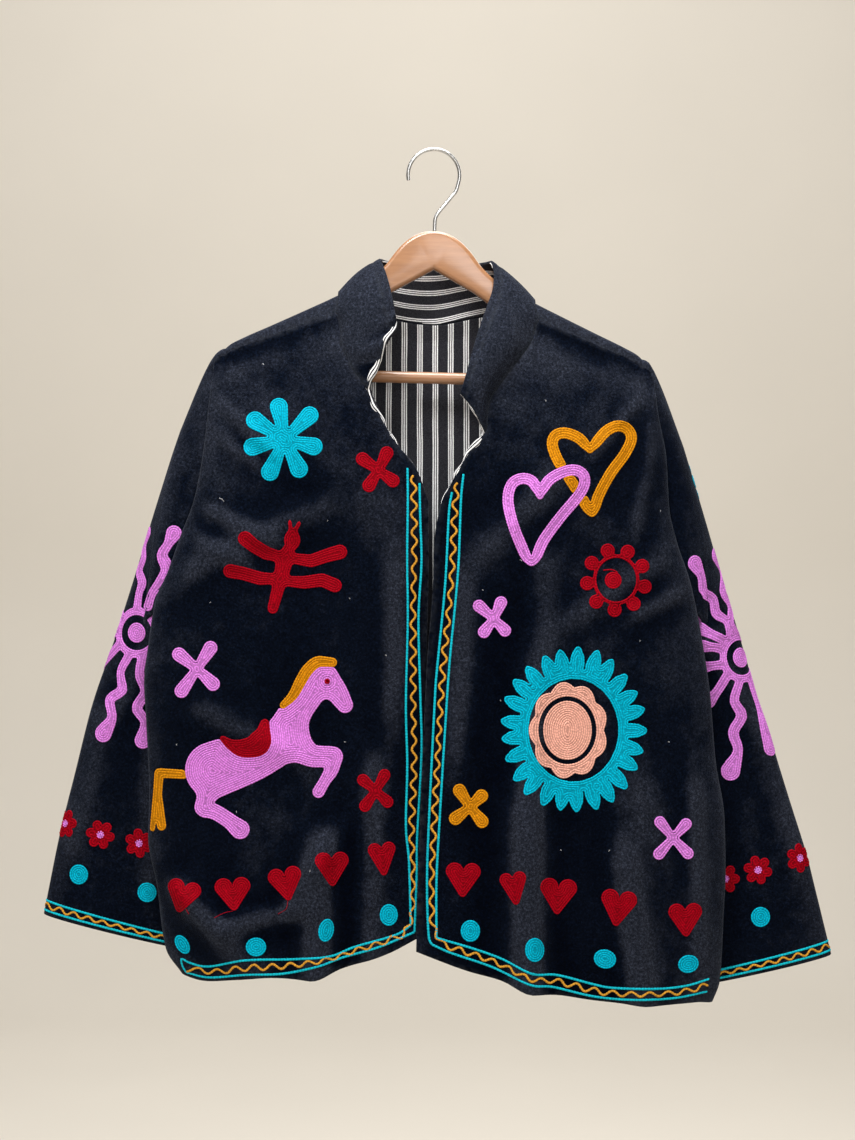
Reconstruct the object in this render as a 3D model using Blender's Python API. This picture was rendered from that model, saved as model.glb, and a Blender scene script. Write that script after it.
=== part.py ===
# Velvet jacket with a stand collar, hung open-fronted on a wooden hanger.
# Lengths in the tables are millimetres in the hung pose: x to the viewer's right,
# y away from the viewer, z up, all from the inside top of the hanger hook.
# "right" and "left" are the wearer's sides, so the right front is at negative x.
import math

import bmesh
import bpy
import numpy as np

MM = 0.001
VELVET_WALL = 2.4
LINING_WALL = 1.0
SEAM_INSET = 0.22
LINING_GAP = 0.35

# How full the flattened body is between its side seams, front and back
FRONT_FULLNESS = 2.6
BACK_FULLNESS = 1.5

# Hanger sizes
HANGER_TILT = math.radians(1.5)
HANGER_THICK = 13.0
HANGER_EDGE_ROUND = 4.5
HANGER_ARM = {
    "half": (0, 15, 28, 38, 48, 65, 82, 104, 126, 165, 195, 207, 212),
    "top": (-82, -83.5, -93, -103, -116.5, -132.5, -145, -157, -167.6, -186, -200, -206.5, -211),
}
HANGER_UNDERSIDE = {
    "half": (0, 15, 28, 38, 48, 65, 82, 104, 126, 165, 188),
    "under": (-123, -126, -134, -142, -150, -161, -171.5, -183, -193, -212, -223),
}
HEEL_HALF = 192.0
HEEL_DEEP = -243.0
TIP_LOW = -236.0
BAR_DIAMETER = 12.0
BAR_HEIGHT = -232.0
HOOK_WIRE = 3.8
HOOK_RADIUS = 26.3
CLOTH_ON_HANGER = 2.3
FALL_PAST_TIP = 0.06

# Free edge of each front: neckline, then the front edge down to the hem
FRONT_EDGE = {
    "right": {
        "z": (-168, -178, -203, -226, -246, -283, -305, -328, -346, -364, -421, -528, -600,
              -700, -760, -797),
        "x": (-100, -97, -93, -83, -69, -50, -36, -18, -11, -6, -6, -8, -4, -5, -11, -18),
        "y": (-13, -15, -20, -26, -31, -36, -38, -39, -40, -40, -40, -39, -38, -38, -38, -38),
    },
    "left": {
        "z": (-175, -199, -219, -243, -265, -289, -299, -317, -344, -362, -403, -439, -519,
              -603, -738, -808),
        "x": (107, 99, 85, 67, 55, 53, 45, 32, 17, 8, 1, 0, -6, -10, -15, -17),
        "y": (-12, -20, -26, -32, -37, -40, -42, -43, -44, -44, -45, -45, -46, -47, -47, -47),
    },
}
# Outer edge of each front: armhole, then the side seam down to the hem
OUTER_EDGE = {
    "right": {
        "z": (-217, -244, -301, -356, -396, -434, -457, -471, -506, -542, -578, -659, -699,
              -749, -813, -838),
        "x": (-223, -226, -232, -242, -257, -271, -282, -285, -290, -294, -292, -289, -290,
              -281, -272, -256),
        "y": (-9, -13, -14, -14, -13, -11, -9, -7, -8, -8, -8, -8, -8, -7, -5, -2),
    },
    "left": {
        "z": (-226, -236, -271, -315, -367, -401, -441, -471, -499, -552, -623, -681, -733,
              -778, -846, -866),
        "x": (219, 223, 227, 235, 238, 246, 260, 267, 272, 280, 286, 295, 296, 294, 290, 283),
        "y": (-9, -12, -14, -14, -14, -13, -10, -7, -8, -8, -8, -8, -8, -8, -7, -5),
    },
}
UNDERARM_Z = -471.0
# Hem heights across the fronts and the back
FRONT_HEM = {
    "right": {
        "x": (-256, -230, -198, -162, -125, -93, -45, -18),
        "z": (-838, -842, -839, -836, -837, -826, -811, -797),
    },
    "left": {
        "x": (-17, 37, 68, 98, 119, 160, 200, 232, 265, 283),
        "z": (-808, -828, -836, -848, -850, -857, -861, -863, -863, -866),
    },
}
BACK_HEM = {
    "x": (-256, -180, -90, 0, 90, 180, 283),
    "z": (-838, -828, -814, -806, -816, -838, -866),
}
# Back neckline from the right neck point round to the left one
BACK_NECK = {
    "x": (-98, -97, -86, -45, 0, 45, 88, 101, 104),
    "y": (0, 9.5, 16, 25, 28, 26, 16, 9.5, 0),
    "z": (-150.5, -153, -157, -169.5, -175, -168, -161, -160, -157.5),
}
# Depth of the middle of the back and of the back armhole edges, by height
BACK_MIDDLE = {
    "z": (-150, -200, -300, -450, -600, -750, -870),
    "y": (20, 26, 24, 20, 18, 20, 22),
}
BACK_ARMHOLE = {
    "drop": (0.0, 0.12, 0.35, 0.6, 0.85, 1.0),
    "y": (12.5, 13, 14, 12, 3, -7),
}
# Where the cloth runs over the hanger: depth and drop from the ridge, forward and back
SHOULDER_WRAP = {
    "y": (-5.0, -9.0),
    "drop": (0.7, 4.4),
}
SHOULDER_BACK = {
    "y": (5.0, 9.0, 12.5),
    "drop": (0.7, 4.4, 15.0),
    "neck_drop": (4.0, 10.0, 19.0),
}
SHOULDER_SEAM_DROP = {"right": (17, 6), "left": (15, 8)}
SHOULDER_SEAM_DEPTH = (-13, -9)

# Sleeves: outer line from the shoulder point to the cuff and the hidden inner line
SLEEVE_OUTER = {
    "right": {
        "along": (0.0, 0.035, 0.12, 0.25, 0.4, 0.5, 0.62, 0.72, 0.86, 1.0),
        "x": (-226, -238, -256, -281, -311, -331, -352, -370, -387, -403),
        "y": (-1, 1, 5, 11, 17, 21, 24, 26, 27, 27),
        "z": (-214, -232, -279, -353, -447, -507, -567, -637, -705, -784),
    },
    "left": {
        "along": (0.0, 0.035, 0.12, 0.25, 0.4, 0.5, 0.62, 0.72, 0.86, 1.0),
        "x": (221, 238, 253, 277, 300, 320, 342, 364, 388, 411),
        "y": (-1, 1, 5, 11, 17, 21, 24, 26, 27, 27),
        "z": (-222, -250, -297, -374, -450, -514, -590, -660, -735, -826),
    },
}
SLEEVE_INNER = {
    "right": {
        "along": (0.0, 0.1, 0.2, 0.3, 0.42, 0.6, 0.8, 1.0),
        "x": (-285, -295, -297, -284, -240, -200, -214, -248),
        "y": (-7, 3, 14, 24, 32, 35, 33, 29),
        "z": (-471, -482, -498, -522, -564, -634, -738, -822),
    },
    "left": {
        "along": (0.0, 0.1, 0.2, 0.3, 0.42, 0.6, 0.8, 1.0),
        "x": (267, 277, 281, 271, 233, 197, 216, 259),
        "y": (-7, 3, 14, 24, 32, 35, 33, 29),
        "z": (-471, -483, -500, -526, -573, -650, -762, -860),
    },
}
SLEEVE_HALF_DEPTH = {
    "along": (0.0, 0.1, 0.25, 0.42, 0.6, 0.8, 1.0),
    "half": (12, 14, 19, 21, 20, 18, 15),
}
ARMHOLE_BLEND = 0.13

# Collar: its top edge against the share of the neckline's length
COLLAR_TOP = {
    "along": (0.0, 0.1, 0.16, 0.19, 0.225, 0.27, 0.32, 0.38, 0.447, 0.52, 0.575, 0.63, 0.68,
              0.705, 0.73, 0.78, 0.83, 0.896, 0.948, 1.0),
    "x": (-38, -41, -46, -51, -55, -52, -42, -25, 0, 25, 42, 54, 59, 62, 61, 54, 46, 38, 32, 27),
    "y": (-36, -34, -26, -15, 0, 14, 24, 31, 35, 33, 26, 14, 0, -9, -15, -27, -35, -42, -46,
          -48),
    "z": (-180, -161, -139, -122, -111, -109.5, -110.5, -111, -112, -112, -111.5, -112, -113,
          -127, -140, -163, -187, -214, -236, -252),
}
COLLAR_BULGE = {
    "along": (0.0, 0.12, 0.22, 0.3, 0.447, 0.6, 0.68, 0.78, 0.88, 1.0),
    "out": (3, 5, 3, 4, 3, 4, 3, 8, 10, 6),
}
COLLAR_END_Z = {"right": -246.0, "left": -289.0}
COLLAR_SEAM_RISE = 1.7
COLLAR_OVER_ARM = 3.6
ARM_CROSSING = 12.0
NECK_CENTRE = (0.0, 0.0, -150.0)

# Largest folds: a ridge line from (x0, z0) to (x1, z1), its width and its height
FOLD_RISE = 0.35
FOLD_END = 60.0
FOLDS = {
    "front_right": (
        {"x0": -112, "z0": -680, "x1": -118, "z1": -860, "width": 26, "height": 8},
        {"x0": -262, "z0": -735, "x1": -205, "z1": -800, "width": 26, "height": 7},
        {"x0": -190, "z0": -250, "x1": -60, "z1": -360, "width": 30, "height": 3},
    ),
    "front_left": (
        {"x0": 84, "z0": -640, "x1": 96, "z1": -870, "width": 27, "height": 9},
        {"x0": 200, "z0": -600, "x1": 214, "z1": -880, "width": 30, "height": 5},
        {"x0": 190, "z0": -250, "x1": 90, "z1": -380, "width": 30, "height": 3},
    ),
    "back": (
        {"x0": -95, "z0": -560, "x1": -110, "z1": -850, "width": 30, "height": 7},
        {"x0": 20, "z0": -600, "x1": 15, "z1": -850, "width": 28, "height": 5},
        {"x0": 120, "z0": -540, "x1": 135, "z1": -870, "width": 32, "height": 8},
    ),
}

# Grid sizes
PANEL_COLUMNS = 11
NECK_COLUMNS = 8
ARMHOLE_ROWS = 8
SIDE_ROWS = 12
SLEEVE_STATIONS = (0.0, 0.045, 0.1, 0.16, 0.23, 0.3, 0.38, 0.47, 0.57, 0.67, 0.78, 0.89, 1.0)
COLLAR_ROWS = 4
SIDE_CROWDING = 1.35
LINING_PAST_NECK = 3
LINING_TOP_ROW = 4

COLOURS = {
    "velvet": ((0.006, 0.008, 0.014, 1.0), 0.75, 0.0),
    "striped_lining": ((0.30, 0.30, 0.31, 1.0), 0.8, 0.0),
    "hanger_wood": ((0.52, 0.27, 0.11, 1.0), 0.3, 0.0),
    "hook_chrome": ((0.75, 0.75, 0.76, 1.0), 0.15, 1.0),
}


def smooth(knots, values, at):
    """Smooth curve through the values at rising knots, with no overshoot between them."""
    knots = np.asarray(knots, float)
    values = np.asarray(values, float)
    if knots[0] > knots[-1]:
        knots = knots[::-1]
        values = values[::-1]
    step = np.diff(knots)
    slope = np.diff(values) / step
    tangent = np.zeros(len(knots))
    tangent[0] = slope[0]
    tangent[-1] = slope[-1]
    for i in range(1, len(knots) - 1):
        if slope[i - 1] * slope[i] > 0:
            near = 2 * step[i] + step[i - 1]
            far = step[i] + 2 * step[i - 1]
            tangent[i] = (near + far) / (near / slope[i - 1] + far / slope[i])
    at = np.clip(np.asarray(at, float), knots[0], knots[-1])
    i = np.clip(np.searchsorted(knots, at) - 1, 0, len(step) - 1)
    t = (at - knots[i]) / step[i]
    return (
        (2 * t**3 - 3 * t**2 + 1) * values[i]
        + (t**3 - 2 * t**2 + t) * step[i] * tangent[i]
        + (3 * t**2 - 2 * t**3) * values[i + 1]
        + (t**3 - t**2) * step[i] * tangent[i + 1]
    )


def ramp(low, high, at):
    t = np.clip((np.asarray(at, float) - low) / (high - low), 0, 1)
    return t * t * (3 - 2 * t)


def hanger_top(x):
    """Height of the wooden arm's top edge at x, with the hanger's tilt."""
    arm = smooth(HANGER_ARM["half"], HANGER_ARM["top"], abs(x))
    return arm - x * math.tan(HANGER_TILT)


def ridge(x):
    """Height of the cloth where it lies over the arm, falling away past its tip."""
    past = max(0.0, abs(x) - HANGER_ARM["half"][-1])
    return hanger_top(x) + CLOTH_ON_HANGER - FALL_PAST_TIP * past * past


def fold_lift(folds, x, z):
    """Sum of the soft ridges at (x, z)."""
    lift = np.zeros(np.broadcast(x, z).shape)
    for fold in folds:
        run = np.array((fold["x1"] - fold["x0"], fold["z1"] - fold["z0"]), float)
        length = np.hypot(*run)
        run = run / length
        along = (x - fold["x0"]) * run[0] + (z - fold["z0"]) * run[1]
        beyond = np.maximum(0, np.maximum(-along, along - length))
        across = (x - fold["x0"]) * run[1] - (z - fold["z0"]) * run[0]
        fade = ramp(0, FOLD_RISE * length, along + 0.1 * length)
        lift = lift + fold["height"] * fade * np.exp(
            -((across / fold["width"]) ** 2) - (beyond / FOLD_END) ** 2
        )
    return lift


def seam_point(side, x):
    """Point of the forward shoulder seam at x."""
    neck = FRONT_EDGE[side]["x"][0]
    tip = OUTER_EDGE[side]["x"][0]
    share = (x - neck) / (tip - neck)
    drop = np.interp(share, (0, 1), SHOULDER_SEAM_DROP[side])
    depth = np.interp(share, (0, 1), SHOULDER_SEAM_DEPTH)
    return np.array((x, depth, ridge(x) - drop))


def section(share, power=FRONT_FULLNESS):
    """Roundness of a flattened tube from its side (0) to its middle (1)."""
    return (1 - (1 - np.clip(share, 0, 1)) ** power) ** (1 / power)


def row_heights(side):
    """Shares of the way down at which the rows of a side lie, the same on every panel."""
    table = OUTER_EDGE[side]
    top = table["z"][0]
    hem = table["z"][-1]
    under = (top - UNDERARM_Z) / (top - hem)
    above = under * np.linspace(0, 1, ARMHOLE_ROWS + 1)
    below = under + (1 - under) * np.linspace(0, 1, SIDE_ROWS + 1)[1:]
    return np.concatenate([above, below])


def column_shares():
    """Shares across a front from its free edge to its side, closer near the side."""
    even = np.linspace(0, 1, PANEL_COLUMNS + 1)
    return 1 - (1 - even) ** SIDE_CROWDING


def front_point(side, u, v):
    """Points of a front panel: u from the free edge to the side, v from shoulder to hem."""
    edge = FRONT_EDGE[side]
    outer = OUTER_EDGE[side]
    hem = FRONT_HEM[side]
    edge_z = edge["z"][0] + (edge["z"][-1] - edge["z"][0]) * v
    outer_z = outer["z"][0] + (outer["z"][-1] - outer["z"][0]) * v
    edge_x = smooth(edge["z"], edge["x"], edge_z)
    edge_y = smooth(edge["z"], edge["y"], edge_z)
    outer_x = smooth(outer["z"], outer["x"], outer_z)
    outer_y = smooth(outer["z"], outer["y"], outer_z)
    x = edge_x + (outer_x - edge_x) * u
    top_x = edge["x"][0] + (outer["x"][0] - edge["x"][0]) * u
    hem_x = edge["x"][-1] + (outer["x"][-1] - edge["x"][-1]) * u
    top = np.array([seam_point(side, a) for a in np.ravel(top_x)]).reshape(np.shape(top_x) + (3,))
    hem_z = smooth(hem["x"], hem["z"], hem_x)
    flat_top = edge["z"][0] + (outer["z"][0] - edge["z"][0]) * u
    flat_hem = edge["z"][-1] + (outer["z"][-1] - edge["z"][-1]) * u
    z = edge_z + (outer_z - edge_z) * u
    above = np.clip(1 - v * (outer["z"][0] - outer["z"][-1]) / (outer["z"][0] - UNDERARM_Z), 0, 1)
    z = z + (top[..., 2] - flat_top) * above + (hem_z - flat_hem) * v
    y = outer_y + (edge_y - outer_y) * section(1 - u)
    y = y + (top[..., 1] - y) * (1 - ramp(0, 0.05, v))
    inside = ramp(0, 0.12, 1 - u) * ramp(0, 0.08, v)
    y = y - fold_lift(FOLDS["front_" + side], x, z) * inside
    return np.stack([x, y, z], axis=-1)


def back_top(k, of_k):
    """Top of the back at column k: shoulder ridge, neckline, other shoulder ridge."""
    shoulder = PANEL_COLUMNS
    if k <= shoulder:
        share = column_shares()[::-1][k]
        x = FRONT_EDGE["right"]["x"][0]
        x = x + (OUTER_EDGE["right"]["x"][0] - x) * share
        x = x if k < shoulder else BACK_NECK["x"][0]
        return np.array((x, 0.0, ridge(x)))
    if k >= of_k - shoulder:
        share = column_shares()[k - (of_k - shoulder)]
        x = FRONT_EDGE["left"]["x"][0]
        x = x + (OUTER_EDGE["left"]["x"][0] - x) * share
        x = x if k > of_k - shoulder else BACK_NECK["x"][-1]
        return np.array((x, 0.0, ridge(x)))
    place = (k - shoulder) / NECK_COLUMNS * (len(BACK_NECK["x"]) - 1)
    order = np.arange(len(BACK_NECK["x"]))
    return np.array([smooth(order, BACK_NECK[axis], place) for axis in "xyz"])


def back_side(side, v):
    """Edge of the back: back armhole above the underarm, side seam below it."""
    outer = OUTER_EDGE[side]
    hem = outer["z"][-1]
    z = outer["z"][0] + (hem - outer["z"][0]) * v
    x = smooth(outer["z"], outer["x"], z)
    y = smooth(outer["z"], outer["y"], z)
    drop = (z - outer["z"][0]) / (UNDERARM_Z - outer["z"][0])
    armhole_y = smooth(BACK_ARMHOLE["drop"], BACK_ARMHOLE["y"], drop)
    y = np.where(drop < 1, armhole_y, y)
    top = ridge(outer["x"][0])
    z = z + (top - outer["z"][0]) * np.clip(1 - drop, 0, 1)
    return np.stack([x, y, z], axis=-1)


def back_grid():
    """Main grid of the back from the ridge and neckline to the hem, columns first."""
    columns = 2 * PANEL_COLUMNS + NECK_COLUMNS
    over = len(SHOULDER_BACK["y"])
    rows = {side: row_heights(side) for side in ("right", "left")}
    edge = {side: back_side(side, rows[side]) for side in rows}
    tops = np.array([back_top(k, columns) for k in range(columns + 1)])
    tops[0] = edge["right"][0] * (1, 0, 1)
    tops[-1] = edge["left"][0] * (1, 0, 1)
    share = (tops[:, 0] - tops[0, 0]) / (tops[-1, 0] - tops[0, 0])
    even = np.linspace(0, 1, columns + 1)
    grid = np.zeros((columns + 1, len(rows["right"]) + over, 3))
    for k in range(columns + 1):
        at_neck = PANEL_COLUMNS < k < columns - PANEL_COLUMNS
        grid[k, 0] = tops[k]
        for j in range(over):
            if at_neck:
                down = (0.0, 0.12 * SHOULDER_BACK["neck_drop"][j], -SHOULDER_BACK["neck_drop"][j])
            else:
                down = (0.0, SHOULDER_BACK["y"][j], -SHOULDER_BACK["drop"][j])
            grid[k, j + 1] = tops[k] + down
        start_y = grid[k, over, 1]
        for j in range(1, len(rows["right"])):
            v = rows["right"][j] + (rows["left"][j] - rows["right"][j]) * share[k]
            u = share[k] + (even[k] - share[k]) * 0.5 * v
            side = edge["right"][j] + (edge["left"][j] - edge["right"][j]) * u
            flat_top = tops[0] + (tops[-1] - tops[0]) * u
            x = side[0] + (tops[k, 0] - flat_top[0]) * (1 - v)
            hem_z = smooth(BACK_HEM["x"], BACK_HEM["z"], x)
            flat_hem = edge["right"][-1, 2] + (edge["left"][-1, 2] - edge["right"][-1, 2]) * u
            z = side[2] + (tops[k, 2] - flat_top[2]) * (1 - v) + (hem_z - flat_hem) * v
            from_side = 1 - abs(2 * u - 1)
            middle = smooth(BACK_MIDDLE["z"], BACK_MIDDLE["y"], z)
            y = side[1] + (middle - side[1]) * section(from_side, BACK_FULLNESS)
            inside = ramp(0, 0.1, from_side)
            y = y + (start_y - y) * (1 - ramp(0, 0.15, v)) * inside
            lift = fold_lift(FOLDS["back"], x, z) * inside * ramp(0, 0.1, v)
            grid[k, j + over] = (x, y + lift, z)
    for side, k in (("right", 0), ("left", columns)):
        grid[k, over + 1 :] = edge[side][1:]
    return grid


def wrap_rows(side, columns):
    """Rows of the back that run forward over the hanger to the shoulder seam."""
    rows = []
    for y, drop in zip(SHOULDER_WRAP["y"], SHOULDER_WRAP["drop"]):
        rows.append([(c[0], y, c[2] - drop) for c in columns])
    neck = FRONT_EDGE[side]["x"][0]
    tip = OUTER_EDGE[side]["x"][0]
    rows.append([seam_point(side, min(max(c[0], min(neck, tip)), max(neck, tip))) for c in columns])
    return np.array(rows)


def normals_of(points, cells):
    """Unit normals at the points, from the cells round them weighted by their area."""
    total = np.zeros_like(points)
    for cell in cells:
        corner = points[list(cell)]
        if len(cell) == 4:
            face = np.cross(corner[2] - corner[0], corner[3] - corner[1])
        else:
            face = np.cross(corner[1] - corner[0], corner[2] - corner[0])
        for index in cell:
            total[index] += face
    length = np.linalg.norm(total, axis=1, keepdims=True)
    return total / np.maximum(length, 1e-12)


def grid_cells(columns, rows, at=0, keep=None):
    """Four-cornered cells of a grid stored column by column."""
    cells = []
    for i in range(columns - 1):
        for j in range(rows - 1):
            if keep is None or keep(i, j):
                a = at + i * rows + j
                cells.append((a, a + rows, a + rows + 1, a + 1))
    return cells


def flipped(cells):
    return [tuple(reversed(cell)) for cell in cells]


def build_wall(name, colour, points, cells, normals, thickness):
    """One closed wall: the cells on both sides of the middle surface, and a rim."""
    half = thickness / 2
    used = sorted({index for cell in cells for index in cell})
    mesh = bmesh.new()
    outer = {}
    inner = {}
    for index in used:
        outer[index] = mesh.verts.new((points[index] + normals[index] * half) * MM)
        inner[index] = mesh.verts.new((points[index] - normals[index] * half) * MM)
    triangles = []
    for cell in cells:
        if len(cell) == 3:
            triangles.append(cell)
            continue
        a, b, c, d = cell
        if np.linalg.norm(points[a] - points[c]) <= np.linalg.norm(points[b] - points[d]):
            triangles += [(a, b, c), (a, c, d)]
        else:
            triangles += [(a, b, d), (b, c, d)]
    directed = set()
    for triangle in triangles:
        mesh.faces.new([outer[i] for i in triangle])
        mesh.faces.new([inner[i] for i in reversed(triangle)])
        for i in range(3):
            directed.add((triangle[i], triangle[(i + 1) % 3]))
    for start, end in directed:
        if (end, start) in directed:
            continue
        # Both walls at a seam split their rims the same way, from the lower point
        if points[start][2] + 0.3 * points[start][0] < points[end][2] + 0.3 * points[end][0]:
            mesh.faces.new((outer[end], outer[start], inner[end]))
            mesh.faces.new((outer[start], inner[start], inner[end]))
        else:
            mesh.faces.new((outer[end], outer[start], inner[start]))
            mesh.faces.new((outer[end], inner[start], inner[end]))
    return finish(name, colour, mesh)


def finish(name, colour, mesh):
    data = bpy.data.meshes.new(name)
    mesh.to_mesh(data)
    mesh.free()
    data.shade_smooth()
    body = bpy.data.objects.new(name, data)
    bpy.context.scene.collection.objects.link(body)
    body.data.materials.append(material_of(colour))
    return body


def material_of(name):
    found = bpy.data.materials.get(name)
    if found:
        return found
    base, rough, metal = COLOURS[name]
    made = bpy.data.materials.new(name)
    made.use_nodes = True
    shader = made.node_tree.nodes["Principled BSDF"]
    shader.inputs["Base Color"].default_value = base
    shader.inputs["Roughness"].default_value = rough
    shader.inputs["Metallic"].default_value = metal
    made.diffuse_color = base
    return made


class Panel:
    """Middle surface of one cloth piece: its points, cells and normals."""

    def __init__(self, points, cells):
        self.points = np.asarray(points, float)
        self.cells = cells
        self.normals = normals_of(self.points, cells)


def share_normals(joined):
    """Gives panels that meet at a seam the same normals there."""
    for spots in zip(*[indices for _, indices in joined]):
        total = sum(panel.normals[spot] for (panel, _), spot in zip(joined, spots))
        total = total / np.linalg.norm(total)
        for (panel, _), spot in zip(joined, spots):
            panel.normals[spot] = total


def front_panel(side):
    u = column_shares()[:, None]
    v = row_heights(side)[None, :]
    u, v = np.broadcast_arrays(u, v)
    points = front_point(side, u, v)
    rows = v.shape[1]
    cells = grid_cells(len(points), rows)
    panel = Panel(points.reshape(-1, 3), cells if side == "right" else flipped(cells))
    panel.rows = rows
    panel.columns = len(points)
    return panel


def back_panel():
    grid = back_grid()
    columns, rows = grid.shape[:2]
    points = list(grid.reshape(-1, 3))
    cells = flipped(grid_cells(columns, rows))
    strips = {}
    for side, chosen in (
        ("right", list(range(PANEL_COLUMNS + 1))),
        ("left", list(range(columns - 1 - PANEL_COLUMNS, columns))),
    ):
        front = wrap_rows(side, grid[chosen, 0])
        at = len(points)
        points += list(front.reshape(-1, 3))
        width = len(chosen)
        lines = [[c * rows for c in chosen]]
        lines += [[at + r * width + k for k in range(width)] for r in range(len(front))]
        for upper, lower in zip(lines, lines[1:]):
            for k in range(width - 1):
                cells.append((upper[k], upper[k + 1], lower[k + 1], lower[k]))
        strips[side] = lines
    panel = Panel(points, flipped(cells) if facing_in(points, cells) else cells)
    panel.rows = rows
    panel.columns = columns
    panel.strips = strips
    return panel


def facing_in(points, cells):
    """True when the middle cells of a back panel face the viewer."""
    middle = normals_of(np.asarray(points), cells)[len(points) // 2]
    return middle[1] < 0


def armhole_loop(side, front, back):
    """Matching point numbers round an armhole: down the front, then up the back."""
    rows = front.rows
    front_line = [(front.columns - 1) * rows + j for j in range(ARMHOLE_ROWS + 1)]
    column = 0 if side == "right" else back.columns - 1
    over_rows = back.rows - front.rows
    lowest = ARMHOLE_ROWS + over_rows - 1
    back_line = [column * back.rows + j for j in range(lowest, 0, -1)]
    strip = back.strips[side]
    end = 0 if side == "right" else -1
    over = [line[end] for line in strip]
    return front_line, back_line, over


def sleeve_points(side, loop):
    """Rings of a sleeve from the armhole loop to the cuff."""
    count = len(loop)
    under = int(np.argmin(loop[:, 2]))
    turn = np.zeros(count)
    step = np.linalg.norm(np.diff(np.vstack([loop, loop[:1]]), axis=0), axis=1)
    front = np.concatenate([[0], np.cumsum(step[:under])])
    turn[: under + 1] = math.pi * front / front[-1]
    rear = np.concatenate([[0], np.cumsum(step[under:])])
    turn[under:] = (math.pi + math.pi * rear / rear[-1])[:-1]
    outer = SLEEVE_OUTER[side]
    inner = SLEEVE_INNER[side]
    rings = []
    for s in SLEEVE_STATIONS:
        high = np.array([smooth(outer["along"], outer[axis], s) for axis in "xyz"])
        low = np.array([smooth(inner["along"], inner[axis], s) for axis in "xyz"])
        half = smooth(SLEEVE_HALF_DEPTH["along"], SLEEVE_HALF_DEPTH["half"], s)
        across = (1 - np.cos(turn))[:, None] / 2
        ring = high + (low - high) * across
        ring[:, 1] = ring[:, 1] - half * np.sin(turn)
        blend = min(1.0, s / ARMHOLE_BLEND)
        rings.append(loop * (1 - blend) + ring * blend)
    return np.array(rings)


def sleeve_panel(side, front, back):
    front_line, back_line, over = armhole_loop(side, front, back)
    # The loop starts on the ridge, runs over the wrap to the seam, down and up again
    top = over[0]
    loop_points = [back.points[i] for i in over[:-1]]
    loop_points += [front.points[i] for i in front_line]
    loop_points += [back.points[i] for i in back_line]
    rings = sleeve_points(side, np.array(loop_points))
    count = len(loop_points)
    cells = []
    for s in range(len(rings) - 1):
        for k in range(count):
            after = (k + 1) % count
            cells.append((s * count + k, s * count + after, (s + 1) * count + after, (s + 1) * count + k))
    panel = Panel(rings.reshape(-1, 3), flipped(cells) if side == "right" else cells)
    lead = len(over) - 1
    panel.loop = count
    panel.front_spots = list(range(lead, lead + len(front_line)))
    panel.back_spots = [0] + list(range(1, lead)) + list(range(lead + len(front_line), count))
    panel.back_matches = [top] + over[1:lead] + back_line
    panel.front_matches = front_line
    return panel


def collar_panel(fronts, back):
    """Band from the neckline to the collar's top edge."""
    base = []
    for side in ("right", "left"):
        front = fronts[side]
        heights = front.points[: front.rows, 2]
        last = int(np.argmin(abs(heights - COLLAR_END_Z[side])))
        line = [front.points[j] for j in range(1, last + 1)]
        strip = back.strips[side]
        end = -1 if side == "right" else 0
        over = [back.points[row[end]] for row in reversed(strip)]
        run = list(reversed(line)) + over
        if side == "right":
            base += run
            start = PANEL_COLUMNS
            stop = back.columns - 1 - PANEL_COLUMNS
            base += [back.points[c * back.rows] for c in range(start + 1, stop)]
        else:
            base += list(reversed(run))
    base = np.array(base)
    length = np.concatenate([[0], np.cumsum(np.linalg.norm(np.diff(base, axis=0), axis=1))])
    share = length / length[-1]
    top = np.stack([smooth(COLLAR_TOP["along"], COLLAR_TOP[axis], share) for axis in "xyz"], -1)
    bulge = smooth(COLLAR_BULGE["along"], COLLAR_BULGE["out"], share)
    centre = np.array(NECK_CENTRE)
    grid = np.zeros((len(base), COLLAR_ROWS + 1, 3))
    for k in range(len(base)):
        rise = top[k] - base[k]
        start = base[k] + rise / np.linalg.norm(rise) * COLLAR_SEAM_RISE
        start[2] += COLLAR_OVER_ARM * max(0.0, 1 - abs(base[k][1]) / ARM_CROSSING)
        run = base[min(k + 1, len(base) - 1)] - base[max(k - 1, 0)]
        out = np.cross(run, rise)
        out = out / np.linalg.norm(out)
        if np.dot(out, base[k] - centre) < 0:
            out = -out
        for r in range(COLLAR_ROWS + 1):
            t = r / COLLAR_ROWS
            grid[k, r] = start + (top[k] - start) * t + out * bulge[k] * math.sin(math.pi * t)
    cells = grid_cells(len(base), COLLAR_ROWS + 1)
    panel = Panel(grid.reshape(-1, 3), cells)
    middle = len(base) // 2 * (COLLAR_ROWS + 1)
    if panel.normals[middle][1] < 0:
        panel = Panel(grid.reshape(-1, 3), flipped(cells))
    return panel


def inset_panel(panel, pairs, amount=SEAM_INSET):
    for edge, neighbour in pairs:
        way = panel.points[neighbour] - panel.points[edge]
        way = way - panel.normals[edge] * np.dot(way, panel.normals[edge])
        panel.points[edge] = panel.points[edge] + way / np.linalg.norm(way) * amount


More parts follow.
